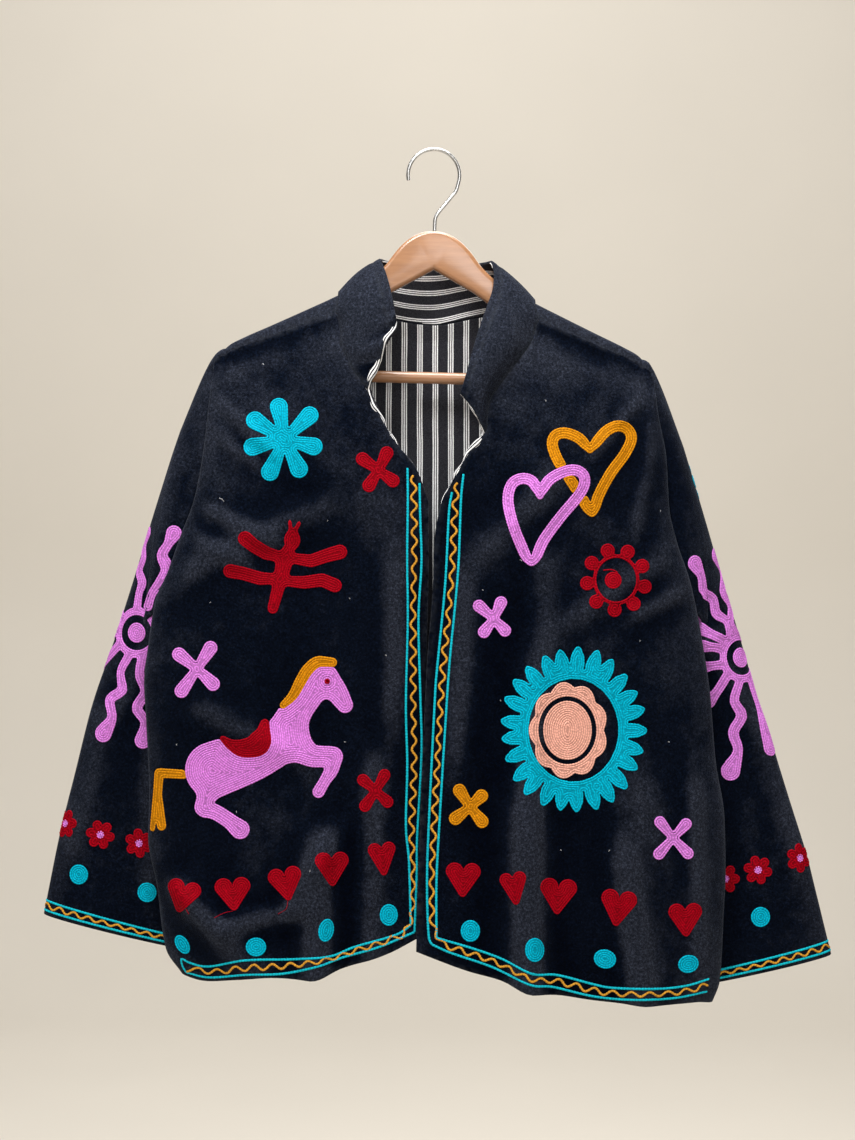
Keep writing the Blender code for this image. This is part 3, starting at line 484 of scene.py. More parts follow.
def back_grid():
    """Main grid of the back from the ridge and neckline to the hem, columns first."""
    columns = 2 * PANEL_COLUMNS + NECK_COLUMNS
    over = len(SHOULDER_BACK["y"])
    rows = {side: back_heights(side) for side in ("right", "left")}
    edge = {side: back_side(side, rows[side]) for side in rows}
    tops = np.array([back_top(k, columns) for k in range(columns + 1)])
    tops[0] = back_side("right", 0.0) * (1, 0, 1)
    tops[-1] = back_side("left", 0.0) * (1, 0, 1)
    share = (tops[:, 0] - tops[0, 0]) / (tops[-1, 0] - tops[0, 0])
    even = np.linspace(0, 1, columns + 1)
    grid = np.zeros((columns + 1, len(rows["right"]) + over, 3))
    for k in range(columns + 1):
        at_neck = PANEL_COLUMNS < k < columns - PANEL_COLUMNS
        grid[k, 0] = tops[k]
        for j in range(over):
            if at_neck:
                down = (0.0, 0.12 * SHOULDER_BACK["neck_drop"][j], -SHOULDER_BACK["neck_drop"][j])
            else:
                down = (0.0, SHOULDER_BACK["y"][j], -SHOULDER_BACK["drop"][j])
            grid[k, j + 1] = tops[k] + down
        start_y = grid[k, over, 1]
        for j in range(1, len(rows["right"])):
            v = lerp(rows["right"][j], rows["left"][j], share[k])
            u = share[k] + (even[k] - share[k]) * 0.5 * v
            side = lerp(edge["right"][j], edge["left"][j], u)
            flat_top = lerp(tops[0], tops[-1], u)
            x = side[0] + (tops[k, 0] - flat_top[0]) * (1 - v)
            hem_z = smooth(BACK_HEM["x"], BACK_HEM["z"], x)
            flat_hem = lerp(edge["right"][-1, 2], edge["left"][-1, 2], u)
            z = side[2] + (tops[k, 2] - flat_top[2]) * (1 - v) + (hem_z - flat_hem) * v
            from_side = 1 - abs(2 * u - 1)
            middle = smooth(BACK_MIDDLE["z"], BACK_MIDDLE["y"], z)
            y = lerp(side[1], middle, section(from_side, BACK_FULLNESS))
            inside = ramp(0, 0.1, from_side)
            y = y + (start_y - y) * (1 - ramp(0, 0.15, v)) * inside
            lift = fold_lift(FOLDS["back"], x, z) * inside * ramp(0, 0.1, v)
            grid[k, j + over] = (x, y + lift, z)
    for side, k in (("right", 0), ("left", columns)):
        grid[k, over + 1 :] = edge[side][1:]
    return grid


def wrap_rows(side, columns):
    """Rows of the back that run forward over the hanger to the shoulder seam."""
    rows = []
    for y, drop in zip(SHOULDER_WRAP["y"], SHOULDER_WRAP["drop"]):
        rows.append([(c[0], y, c[2] - drop) for c in columns])
    neck = FRONT_EDGE[side]["x"][0]
    tip = OUTER_EDGE[side]["x"][0]
    rows.append([seam_point(side, min(max(c[0], min(neck, tip)), max(neck, tip))) for c in columns])
    return np.array(rows)


def normals_of(points, cells):
    """Unit normals at the points, from the cells round them weighted by their area."""
    total = np.zeros_like(points)
    for cell in cells:
        corner = points[list(cell)]
        if len(cell) == 4:
            face = np.cross(corner[2] - corner[0], corner[3] - corner[1])
        else:
            face = np.cross(corner[1] - corner[0], corner[2] - corner[0])
        for index in cell:
            total[index] += face
    length = np.linalg.norm(total, axis=1, keepdims=True)
    return total / np.maximum(length, 1e-12)


def grid_cells(columns, rows, at=0, keep=None):
    """Four-cornered cells of a grid stored column by column."""
    cells = []
    for i in range(columns - 1):
        for j in range(rows - 1):
            if keep is None or keep(i, j):
                a = at + i * rows + j
                cells.append((a, a + rows, a + rows + 1, a + 1))
    return cells


def flipped(cells):
    return [tuple(reversed(cell)) for cell in cells]


def add_object(name, data):
    made = bpy.data.objects.new(name, data)
    bpy.context.scene.collection.objects.link(made)
    return made


class Panel:
    """Middle surface of one cloth piece: its points, cells and normals."""

    def __init__(self, points, cells):
        self.points = np.asarray(points, float)
        self.cells = cells
        self.normals = normals_of(self.points, cells)

    def face(self):
        """Points of the velvet's outer face."""
        return self.points + self.normals * (VELVET_WALL / 2)


def share_normals(joined):
    """Gives panels that meet at a seam the same normals there."""
    for spots in zip(*[indices for _, indices in joined]):
        total = sum(panel.normals[spot] for (panel, _), spot in zip(joined, spots))
        total = total / np.linalg.norm(total)
        for (panel, _), spot in zip(joined, spots):
            panel.normals[spot] = total


def front_panel(side):
    u = column_shares()[:, None]
    v = row_heights(side)[None, :]
    u, v = np.broadcast_arrays(u, v)
    points = front_point(side, u, v)
    rows = v.shape[1]
    cells = grid_cells(len(points), rows)
    panel = Panel(points.reshape(-1, 3), cells if side == "right" else flipped(cells))
    panel.rows = rows
    panel.columns = len(points)
    return panel


def back_panel():
    grid = back_grid()
    columns, rows = grid.shape[:2]
    points = list(grid.reshape(-1, 3))
    cells = flipped(grid_cells(columns, rows))
    strips = {}
    for side, chosen in (
        ("right", list(range(PANEL_COLUMNS + 1))),
        ("left", list(range(columns - 1 - PANEL_COLUMNS, columns))),
    ):
        front = wrap_rows(side, grid[chosen, 0])
        at = len(points)
        points += list(front.reshape(-1, 3))
        width = len(chosen)
        lines = [[c * rows for c in chosen]]
        lines += [[at + r * width + k for k in range(width)] for r in range(len(front))]
        for upper, lower in zip(lines, lines[1:]):
            for k in range(width - 1):
                cells.append((upper[k], upper[k + 1], lower[k + 1], lower[k]))
        strips[side] = lines
    panel = Panel(points, flipped(cells) if facing_in(points, cells) else cells)
    panel.rows = rows
    panel.columns = columns
    panel.strips = strips
    return panel


def facing_in(points, cells):
    """True when the middle cells of a back panel face the viewer."""
    middle = normals_of(np.asarray(points), cells)[len(points) // 2]
    return middle[1] < 0


def armhole_loop(side, front, back):
    """Matching point numbers round an armhole: down the front, then up the back."""
    rows = front.rows
    front_line = [(front.columns - 1) * rows + j for j in range(ARMHOLE_ROWS + 1)]
    column = 0 if side == "right" else back.columns - 1
    over_rows = back.rows - front.rows
    lowest = ARMHOLE_ROWS + over_rows - 1
    back_line = [column * back.rows + j for j in range(lowest, 0, -1)]
    strip = back.strips[side]
    end = 0 if side == "right" else -1
    over = [line[end] for line in strip]
    return front_line, back_line, over


def sleeve_points(side, loop):
    """Rings of a sleeve from the armhole loop to the cuff."""
    count = len(loop)
    under = int(np.argmin(loop[:, 2]))
    turn = np.zeros(count)
    step = np.linalg.norm(np.diff(np.vstack([loop, loop[:1]]), axis=0), axis=1)
    front = summed(step[:under])
    turn[: under + 1] = math.pi * front / front[-1]
    rear = summed(step[under:])
    turn[under:] = (math.pi + math.pi * rear / rear[-1])[:-1]
    outer = SLEEVE_OUTER[side]
    inner = SLEEVE_INNER[side]
    rings = []
    for s in SLEEVE_STATIONS:
        high = np.array([smooth(outer["along"], outer[axis], s) for axis in "xyz"])
        low = np.array([smooth(inner["along"], inner[axis], s) for axis in "xyz"])
        half = smooth(SLEEVE_HALF_DEPTH["along"], SLEEVE_HALF_DEPTH["half"], s)
        across = (1 - np.cos(turn))[:, None] / 2
        ring = high + (low - high) * across
        ring[:, 1] = ring[:, 1] - half * np.sin(turn)
        blend = min(1.0, s / ARMHOLE_BLEND)
        rings.append(loop * (1 - blend) + ring * blend)
    return np.array(rings)


def sleeve_panel(side, front, back):
    front_line, back_line, over = armhole_loop(side, front, back)
    # The loop starts on the ridge, runs over the wrap to the seam, down and up again
    top = over[0]
    loop_points = [back.points[i] for i in over[:-1]]
    loop_points += [front.points[i] for i in front_line]
    loop_points += [back.points[i] for i in back_line]
    rings = sleeve_points(side, np.array(loop_points))
    count = len(loop_points)
    cells = []
    for s in range(len(rings) - 1):
        for k in range(count):
            after = (k + 1) % count
            at = s * count
            cells.append((at + k, at + after, at + count + after, at + count + k))
    panel = Panel(rings.reshape(-1, 3), flipped(cells) if side == "right" else cells)
    lead = len(over) - 1
    panel.loop = count
    panel.front_spots = list(range(lead, lead + len(front_line)))
    panel.back_spots = [0] + list(range(1, lead)) + list(range(lead + len(front_line), count))
    panel.back_matches = [top] + over[1:lead] + back_line
    panel.front_matches = front_line
    return panel


def collar_panel(fronts, back):
    """Band from the neckline to the collar's top edge."""
    base = []
    for side in ("right", "left"):
        front = fronts[side]
        heights = front.points[: front.rows, 2]
        last = int(np.argmin(abs(heights - COLLAR_END_Z[side])))
        line = [front.points[j] for j in range(1, last + 1)]
        strip = back.strips[side]
        end = -1 if side == "right" else 0
        over = [back.points[row[end]] for row in reversed(strip)]
        run = list(reversed(line)) + over
        if side == "right":
            base += run
            start = PANEL_COLUMNS
            stop = back.columns - 1 - PANEL_COLUMNS
            base += [back.points[c * back.rows] for c in range(start + 1, stop)]
        else:
            base += list(reversed(run))
    base = np.array(base)
    length = path_length(base)
    share = length / length[-1]
    top = np.stack([smooth(COLLAR_TOP["along"], COLLAR_TOP[axis], share) for axis in "xyz"], -1)
    bulge = smooth(COLLAR_BULGE["along"], COLLAR_BULGE["out"], share)
    centre = np.array(NECK_CENTRE)
    grid = np.zeros((len(base), COLLAR_ROWS + 1, 3))
    for k in range(len(base)):
        rise = top[k] - base[k]
        start = base[k] + rise / np.linalg.norm(rise) * COLLAR_SEAM_RISE
        start[2] += COLLAR_OVER_ARM * max(0.0, 1 - abs(base[k][1]) / ARM_CROSSING)
        run = base[min(k + 1, len(base) - 1)] - base[max(k - 1, 0)]
        out = np.cross(run, rise)
        out = out / np.linalg.norm(out)
        if np.dot(out, base[k] - centre) < 0:
            out = -out
        for r in range(COLLAR_ROWS + 1):
            t = r / COLLAR_ROWS
            grid[k, r] = start + (top[k] - start) * t + out * bulge[k] * math.sin(math.pi * t)
    cells = grid_cells(len(base), COLLAR_ROWS + 1)
    panel = Panel(grid.reshape(-1, 3), cells)
    middle = len(base) // 2 * (COLLAR_ROWS + 1)
    if panel.normals[middle][1] < 0:
        panel = Panel(grid.reshape(-1, 3), flipped(cells))
    return panel


def inset_panel(panel, pairs, amount=SEAM_INSET):
    for edge, neighbour in pairs:
        way = panel.points[neighbour] - panel.points[edge]
        way = way - panel.normals[edge] * np.dot(way, panel.normals[edge])
        panel.points[edge] = panel.points[edge] + way / np.linalg.norm(way) * amount


def smooth_mesh(name, verts, faces, slots, materials):
    """Mesh in metres from points in millimetres, with a material slot for each face."""
    mesh = bpy.data.meshes.new(name)
    mesh.from_pydata([Vector(v) * MM for v in verts], [], faces)
    for one in materials:
        mesh.materials.append(one)
    mesh.polygons.foreach_set("material_index", slots)
    mesh.polygons.foreach_set("use_smooth", [True] * len(faces))
    return mesh


def point_values(mesh, name, values):
    mesh.attributes.new(name, "FLOAT", "POINT").data.foreach_set("value", values)


def cloth_mesh(name, panel, faces, thickness, materials, uv=None, pinch=None, round_rim=0.8):
    """Closed thin wall on a panel's middle surface, with a rounded rim at its free edges."""
    half = np.full(len(panel.points), thickness / 2)
    if pinch:
        for index, factor in pinch.items():
            half[index] *= factor
    outer = panel.points + panel.normals * half[:, None]
    inner = panel.points - panel.normals * (thickness / 2)
    used = np.unique(np.concatenate([np.ravel(face) for face in faces]))
    place = {int(old): new for new, old in enumerate(used)}
    count = len(used)
    verts = [*outer[used], *inner[used]]
    polys = []
    slots = []
    directed = {}
    for face in faces:
        corners = [place[int(i)] for i in face]
        polys += [tuple(corners), tuple(i + count for i in reversed(corners))]
        slots += [0, 1]
        for k, start in enumerate(corners):
            directed[(start, corners[(k + 1) % len(corners)])] = True
    rims = [pair for pair in directed if (pair[1], pair[0]) not in directed]
    outward = {}
    for start, end in rims:
        run = panel.points[used[end]] - panel.points[used[start]]
        side = np.cross(run, panel.normals[used[start]])
        side = side / max(np.linalg.norm(side), 1e-9)
        for index in (start, end):
            outward[index] = outward.get(index, np.zeros(3)) + side
    rows = {}
    for index, way in outward.items():
        way = way / max(np.linalg.norm(way), 1e-9) * round_rim
        middle = panel.points[used[index]]
        lift = panel.normals[used[index]] * half[used[index]] * 0.5
        rows[index] = [len(verts), len(verts) + 1]
        verts += [middle + way + lift, middle + way - lift]
    for start, end in rims:
        first = [start, *rows[start], start + count]
        second = [end, *rows[end], end + count]
        for k in range(3):
            polys.append((second[k], first[k], first[k + 1], second[k + 1]))
            slots.append(0)
    mesh = smooth_mesh(name, verts, polys, slots, materials)
    if uv is not None:
        layer = mesh.uv_layers.new(name="UVMap")
        spread = np.zeros((len(verts), 2))
        spread[:count] = uv[used]
        spread[count : 2 * count] = uv[used]
        for index, pair in rows.items():
            spread[pair] = uv[used[index]]
        loops = np.zeros(len(mesh.loops), int)
        mesh.loops.foreach_get("vertex_index", loops)
        layer.data.foreach_set("uv", spread[loops].ravel())
    # Wear and painted sheen: lighter along the pinched seams and the rims
    worn_and_sheen = np.zeros(len(verts))
    for index in pinch or ():
        if index in place:
            worn_and_sheen[place[index]] = WORN_AND_SHEEN_SEAM
    for index, pair in rows.items():
        worn_and_sheen[[index, index + count]] = WORN_AND_SHEEN_EDGE
        worn_and_sheen[pair] = 1.0
    point_values(mesh, "worn_and_sheen", worn_and_sheen)
    # Fold heights, from which the velvet paints light on the ridges and shade in the troughs
    proud = np.zeros(len(verts))
    proud[:count] = ridges(panel, faces)[used]
    point_values(mesh, "proud", proud)
    mesh.update()
    return add_object(name, mesh)


def ridges(panel, faces):
    """How far each point stands out of the smoothed cloth: folds above 0, troughs below."""
    pairs = np.array([pair for face in faces for pair in zip(face, (*face[1:], face[0]))])
    one, other = np.concatenate([pairs, pairs[:, ::-1]]).T
    share = np.maximum(np.bincount(one, minlength=len(panel.points)), 1)
    smoothed = panel.points.copy()
    for _ in range(RIDGE_STEPS):
        for axis in range(3):
            total = np.bincount(one, smoothed[other, axis], minlength=len(smoothed))
            smoothed[:, axis] = 0.5 * smoothed[:, axis] + 0.5 * total / share
    return np.einsum("ij,ij->i", panel.points - smoothed, panel.normals) / RIDGE_HIGH


def material(name):
    made = bpy.data.materials.new(name)
    made.use_nodes = True
    tree = made.node_tree
    return made, tree, tree.nodes["Principled BSDF"]


def node(tree, kind, **settings):
    made = tree.nodes.new(kind)
    for key, value in settings.items():
        if key.startswith("in_"):
            made.inputs[int(key[3:]) if key[3:].isdigit() else key[3:]].default_value = value
        else:
            setattr(made, key, value)
    return made


def grey(value):
    return (value, value, value)


def ramp_node(tree, factor, stops):
    """Colour ramp with stops of (place, colour)."""
    made = tree.nodes.new("ShaderNodeValToRGB")
    bar = made.color_ramp
    while len(bar.elements) < len(stops):
        bar.elements.new(0.5)
    for element, (place, colour) in zip(bar.elements, stops):
        element.position = place
        element.color = (*colour, 1.0)
    tree.links.new(factor, made.inputs["Fac"])
    return made.outputs["Color"]


def noise(tree, scale, detail=3.0, rough=0.55, vector=None):
    made = node(tree, "ShaderNodeTexNoise", in_Scale=scale, in_Detail=detail, in_Roughness=rough)
    if vector is None:
        vector = node(tree, "ShaderNodeTexCoord").outputs["Object"]
    tree.links.new(vector, made.inputs["Vector"])
    return made.outputs["Fac"]


def bump(tree, shader, heights):
    """Chain of bumps, each (height, strength, distance in metres)."""
    last = None
    for height, strength, distance in heights:
        made = node(tree, "ShaderNodeBump", in_Strength=strength, in_Distance=distance)
        tree.links.new(height, made.inputs["Height"])
        if last is not None:
            tree.links.new(last, made.inputs["Normal"])
        last = made.outputs["Normal"]
    tree.links.new(last, shader.inputs["Normal"])


def feed(tree, value, socket):
    """Links a socket to another node's output, or gives it a constant."""
    if isinstance(value, bpy.types.NodeSocket):
        tree.links.new(value, socket)
    else:
        socket.default_value = value


def math_node(tree, operation, first, second):
    made = node(tree, "ShaderNodeMath", operation=operation)
    feed(tree, first, made.inputs[0])
    feed(tree, second, made.inputs[1])
    return made.outputs[0]


def mix_node(tree, factor, first, second, blend="MIX"):
    made = node(tree, "ShaderNodeMix", data_type="RGBA", blend_type=blend)
    for place, value in ((0, factor), (6, first), (7, second)):
        feed(tree, value, made.inputs[place])
    return made.outputs[2]


def blended(tree, first, second, share):
    """Sum of two values, the first with this share and the second with the rest."""
    return math_node(tree, "ADD", math_node(tree, "MULTIPLY", first, share),
                     math_node(tree, "MULTIPLY", second, 1 - share))


def stretched(tree, scale):
    """Object coordinates drawn out along some axes."""
    made = node(tree, "ShaderNodeMapping")
    made.inputs["Scale"].default_value = scale
    tree.links.new(node(tree, "ShaderNodeTexCoord").outputs["Object"], made.inputs["Vector"])
    return made.outputs["Vector"]


def velvet_material():
    made, tree, shader = material("velvet")
    broad = noise(tree, 9.0, 3.0, 0.55, stretched(tree, (1.0, 1.0, 0.45)))
    patches = noise(tree, 55.0, 5.0, 0.75)
    nap = noise(tree, 420.0, 4.0, 0.9)
    # Painted light and shade on the folds: ridges lighter, troughs darker
    proud = node(tree, "ShaderNodeAttribute", attribute_name="proud")
    mixed = blended(tree, broad, patches, 0.65)
    painted_light = math_node(tree, "MULTIPLY", proud.outputs["Fac"], FOLD_LIGHT_SHARE)
    # Painted light from above: the velvet grows lighter towards the shoulders and collar
    upright = node(tree, "ShaderNodeMapRange", interpolation_type="SMOOTHSTEP")
    upright.inputs["From Min"].default_value = TOP_LIGHT_FROM
    upright.inputs["From Max"].default_value = TOP_LIGHT_TO
    upright.inputs["To Max"].default_value = TOP_LIGHT_SHARE
    place = node(tree, "ShaderNodeSeparateXYZ")
    tree.links.new(node(tree, "ShaderNodeTexCoord").outputs["Object"], place.inputs["Vector"])
    tree.links.new(place.outputs["Z"], upright.inputs["Value"])
    painted_light = math_node(tree, "ADD", painted_light, upright.outputs["Result"])
    colour = ramp_node(tree, math_node(tree, "ADD", mixed, painted_light), (
        (0.28, VELVET_DARK), (0.50, VELVET_MIDDLE), (0.72, VELVET_LIGHT)))
    speck = ramp_node(tree, nap, ((0.36, grey(0.15)), (0.52, grey(0.9)), (0.68, grey(3.2))))
    specked = mix_node(tree, 0.8, colour, speck, "MULTIPLY")
    # Wear and painted sheen: paler in patches along the seams and rims
    worn_and_sheen = node(tree, "ShaderNodeAttribute", attribute_name="worn_and_sheen")
    rubbed_and_sheen = math_node(tree, "MULTIPLY", worn_and_sheen.outputs["Fac"],
                       ramp_node(tree, noise(tree, 150.0), ((0.38, grey(0)), (0.62, grey(1)))))
    worn_and_sheen_colour = mix_node(tree, rubbed_and_sheen, specked, (*VELVET_WORN_AND_SHEEN, 1.0))
    tree.links.new(worn_and_sheen_colour, shader.inputs["Base Color"])
    shader.inputs["Roughness"].default_value = 0.88
    shader.inputs["Specular IOR Level"].default_value = 0.02
    shader.inputs["Sheen Weight"].default_value = 0.12
    shader.inputs["Sheen Roughness"].default_value = 0.30
    shader.inputs["Sheen Tint"].default_value = (0.50, 0.55, 0.68, 1.0)
    bump(tree, shader, ((patches, 0.45, 0.0016), (nap, 1.0, 0.0011)))
    return made


def lining_material():
    """Charcoal cotton with a band of three off-white lines every pitch, along the UV's v."""
    made, tree, shader = material("striped_lining")
    uv = node(tree, "ShaderNodeUVMap", uv_map="UVMap")
    parts = node(tree, "ShaderNodeSeparateXYZ")
    tree.links.new(uv.outputs["UV"], parts.inputs["Vector"])
    wander = math_node(tree, "SUBTRACT", noise(tree, 30.0), 0.5)
    wander = math_node(tree, "MULTIPLY", wander, STRIPE_WANDER)
    across = math_node(tree, "ADD", parts.outputs["X"], wander)
    turn = math_node(tree, "FRACT", math_node(tree, "MULTIPLY", across, 1 / STRIPE_PITCH), 0.0)
    line = math_node(tree, "MULTIPLY", turn, STRIPE_PITCH / LINE_PITCH)
    in_band = math_node(tree, "LESS_THAN", line, STRIPE_LINES)
    in_line = math_node(tree, "LESS_THAN", math_node(tree, "FRACT", line, 0.0), WHITE_SHARE)
    white = math_node(tree, "MULTIPLY", in_band, in_line)
    weave = noise(tree, 900.0, 2.0)
    dark = ramp_node(tree, weave, ((0.35, (0.010, 0.010, 0.014)), (0.7, (0.030, 0.030, 0.036))))
    pale = ramp_node(tree, weave, ((0.35, (0.64, 0.63, 0.63)), (0.7, (0.90, 0.90, 0.90))))
    tree.links.new(mix_node(tree, white, dark, pale), shader.inputs["Base Color"])
    shader.inputs["Roughness"].default_value = 0.9
    shader.inputs["Specular IOR Level"].default_value = 0.15
    bump(tree, shader, ((weave, 0.3, 0.0003),))
    return made


def wood_material():
    made, tree, shader = material("hanger_wood")
    along_arm = stretched(tree, (3.0, 30.0, 30.0))
    grain = noise(tree, 6.0, 6.0, 0.6, along_arm)
    fine = noise(tree, 30.0, 3.0, 0.5, along_arm)
    shades = ((0.30, WOOD_DARK), (0.55, WOOD_MIDDLE), (0.75, WOOD_LIGHT))
    colour = ramp_node(tree, blended(tree, grain, fine, 0.75), shades)
    tree.links.new(colour, shader.inputs["Base Color"])
    shader.inputs["Roughness"].default_value = 0.42
    shader.inputs["Coat Weight"].default_value = 1.0
    shader.inputs["Coat Roughness"].default_value = 0.14
    bump(tree, shader, ((fine, 0.08, 0.0004), (noise(tree, 14.0, 1.0), 0.5, 0.006)))
    return made


def chrome_material():
    made, tree, shader = material("hook_chrome")
    marks = noise(tree, 420.0, 3.0)
    colour = ramp_node(tree, marks, ((0.35, (0.46, 0.46, 0.46)), (0.7, (0.74, 0.74, 0.73))))
    tree.links.new(colour, shader.inputs["Base Color"])
    shader.inputs["Metallic"].default_value = 1.0
    tree.links.new(
        math_node(tree, "ADD", math_node(tree, "MULTIPLY", marks, 0.22), 0.12),
        shader.inputs["Roughness"],
    )
    bump(tree, shader, ((marks, 0.08, 0.0003),))
    return made


def thread_material(name, colour):
    """Matt thread, with painted shade down between its rows, at its stitch holes and on the low
    patch.
    """
    made, tree, shader = material("thread_" + name)
    fleck = noise(tree, 420.0, 3.0, 0.6)
    low = tuple(0.80 * c for c in colour)
    high = tuple(min(1.0, 1.12 * c) for c in colour)
    shade = ramp_node(tree, fleck, ((0.34, low), (0.64, high)))
    # Painted shade from the rise: darkest at the rows' sides and on the patch under them
    rise = node(tree, "ShaderNodeAttribute", attribute_name="rise")
    groove_shade = ramp_node(tree, rise.outputs["Fac"], ((0.0, THREAD_GROOVE_SHADE), (0.75, grey(1.0))))
    tree.links.new(mix_node(tree, 1.0, shade, groove_shade, "MULTIPLY"), shader.inputs["Base Color"])
    shader.inputs["Roughness"].default_value = 0.7
    shader.inputs["Specular IOR Level"].default_value = 0.04
    bump(tree, shader, ((noise(tree, 1500.0, 2.0), 0.35, 0.0003),))
    return made


# Colours, linear RGB
VELVET_DARK = (0.0004, 0.0012, 0.0040)
VELVET_MIDDLE = (0.0020, 0.0036, 0.0086)
VELVET_LIGHT = (0.0170, 0.0200, 0.0300)
# Paler velvet for wear and painted sheen at seams and rims
VELVET_WORN_AND_SHEEN = (0.032, 0.036, 0.045)
WOOD_DARK = (0.28, 0.118, 0.045)
WOOD_MIDDLE = (0.355, 0.160, 0.064)
WOOD_LIGHT = (0.43, 0.21, 0.090)
STRIPE_PITCH = 0.0161
# Shares of the wear and painted sheen at seams and at rims
WORN_AND_SHEEN_SEAM = 0.5
WORN_AND_SHEEN_EDGE = 0.35
RIDGE_STEPS = 60
RIDGE_HIGH = 2.0
# Share of the colour range given to the painted fold light and shade
FOLD_LIGHT_SHARE = 0.17

# Painted light from above, lighter on the shoulders and collar: heights in metres, share of the
# colour range
TOP_LIGHT_FROM = -0.36
TOP_LIGHT_TO = -0.17
TOP_LIGHT_SHARE = 0.13
LINE_PITCH = 0.00225
STRIPE_LINES = 3.0
STRIPE_WANDER = 0.0012
WHITE_SHARE = 0.55
# Painted shade of the thread between its rows, as a colour multiplier
THREAD_GROOVE_SHADE = (0.60, 0.60, 0.60)
THREADS = {
    "turquoise": (0.0, 0.40, 0.56),
    "pink": (0.66, 0.21, 0.68),
    "red": (0.31, 0.0001, 0.007),
    "gold": (0.60, 0.225, 0.004),
    "trim_gold": (0.58, 0.27, 0.03),
    "trim_turquoise": (0.006, 0.42, 0.52),
    "peach": (0.80, 0.40, 0.31),
    "lint": (0.60, 0.60, 0.62),
}

# Chain stitch: width of a row, length of a link and how high it stands
ROW = 2.15
LINK = 2.9
LINK_HIGH = 0.85
PATCH_STEP = 1.6
CUT_LAP = 0.4
HOLE_SHARE = 0.62
# Rise at the stitch holes: they keep part of the thread's painted shade
HOLE_RISE = 0.35
ROPE_LEAN = 0.25
ROPE_SUNK = 0.1
ROPE_CREST = 0.45
PATCH_LIFT = 0.36
PATCH_INSET = 0.35
UNEVEN = (0.94, 1.06)
FIRST_ROW = 0.48
ROW_LAP = 1.05

# Where the photograph was taken from; the motifs are laid out on the plane of the fronts
EYE = (-6.4, -1840.0, -428.2)
VIEW_PLANE = -40.0
# The view's corner: flat places on the fronts are mm right of it and mm down from it
VIEW_LEFT = -433.9
VIEW_TOP = 141.8
# A spot whose ray misses the cloth takes the nearest cloth, if that lies close to the ray
NEAR_CLOTH = 30.0
NEAR_SPOT = 3.0


class Stitching:
    """Gathers the stitches of one piece by thread colour and makes them one mesh."""

    def __init__(self, name):
        self.name = name
        self.verts = []
        self.faces = []
        self.slots = []
        self.colours = []
        self.rises = []

    def add(self, colour, verts, faces, rises=None):
        if colour not in self.colours:
            self.colours.append(colour)
        at = len(self.verts)
        self.verts += [tuple(v) for v in verts]
        # Points given no rises, such as the patch, get the thread's full painted shade
        self.rises += [0.0] * len(verts) if rises is None else rises
        self.faces += [tuple(at + i for i in face) for face in faces]
        self.slots += [self.colours.index(colour)] * len(faces)

    def build(self, threads):
        used = [threads[colour] for colour in self.colours]
        mesh = smooth_mesh(self.name, self.verts, self.faces, self.slots, used)
        point_values(mesh, "rise", self.rises)
        mesh.update()
        return add_object(self.name, mesh)


class FrontView:
    """Lays flat shapes on a panel as seen from the front: (x, z) on the plane of the fronts."""

    def __init__(self, panel, faces):
        self.tree = bvhtree.BVHTree.FromPolygons([Vector(p) for p in panel.face()], faces)

    def at(self, x, z):
        eye = Vector(EYE)
        x = x + VIEW_LEFT
        z = VIEW_TOP - z
        spot = Vector((x, VIEW_PLANE, z))
        hit, normal, _, _ = self.tree.ray_cast(eye, (spot - eye).normalized())
        if hit is None:
            hit, normal, _, _ = self.tree.find_nearest(spot, NEAR_CLOTH)
            if hit is None or math.hypot(hit.x - x, hit.z - z) > NEAR_SPOT:
                return None
        if normal.y > 0:
            normal = -normal
        return np.array(hit), np.array(normal)


class SleeveView:
    """Lays flat shapes round a sleeve: a mm round from its outer line, b mm down from the top."""

    def __init__(self, panel):
        count = panel.loop
        rings = panel.face().reshape(-1, count, 3)
        normals = panel.normals.reshape(-1, count, 3)
        under = panel.front_spots[-1]
        order = list(range(under, -1, -1)) + list(range(count - 1, under, -1))
        order.reverse()
        self.rings = rings[:, order]
        self.normals = normals[:, order]
        zero = order.index(0)
        step = np.linalg.norm(np.diff(self.rings, axis=1), axis=2)
        arcs = np.concatenate([np.zeros((len(rings), 1)), np.cumsum(step, axis=1)], axis=1)
        self.arcs = arcs - arcs[:, zero : zero + 1]
        self.down = path_length(self.rings[:, zero])

    def at(self, a, b):
        place = np.interp(b, self.down, np.arange(len(self.down)))
        low = min(int(place), len(self.down) - 2)
        share = place - low
        spots = []
        ways = []
        for ring in (low, low + 1):
            arc = self.arcs[ring]
            if not arc[0] <= a <= arc[-1]:
                return None
            k = np.interp(a, arc, np.arange(len(arc)))
            i = min(int(k), len(arc) - 2)
            t = k - i
            spots.append(self.rings[ring, i] * (1 - t) + self.rings[ring, i + 1] * t)
            ways.append(self.normals[ring, i] * (1 - t) + self.normals[ring, i + 1] * t)
        normal = ways[0] * (1 - share) + ways[1] * share
        return spots[0] * (1 - share) + spots[1] * share, normal / np.linalg.norm(normal)


def stitch_row(work, colour, view, line, width=ROW, link=LINK, high=LINK_HIGH, closed=False):
    """A row of chain stitches along a flat line, laid on the cloth by the view."""
    line = np.asarray(line, float)
    if closed:
        line = np.vstack([line, line[:1]])
    length = path_length(line)
    count = max(2, int(round(length[-1] / link)))
    run = []
    for point in points_at(line, length, np.linspace(0, length[-1], count + 1)):
        spot = view.at(*point)
        if spot is not None:
            run.append(spot)
            continue
        rope(work, colour, run, width, high)
        run = []
    rope(work, colour, run, width, high)


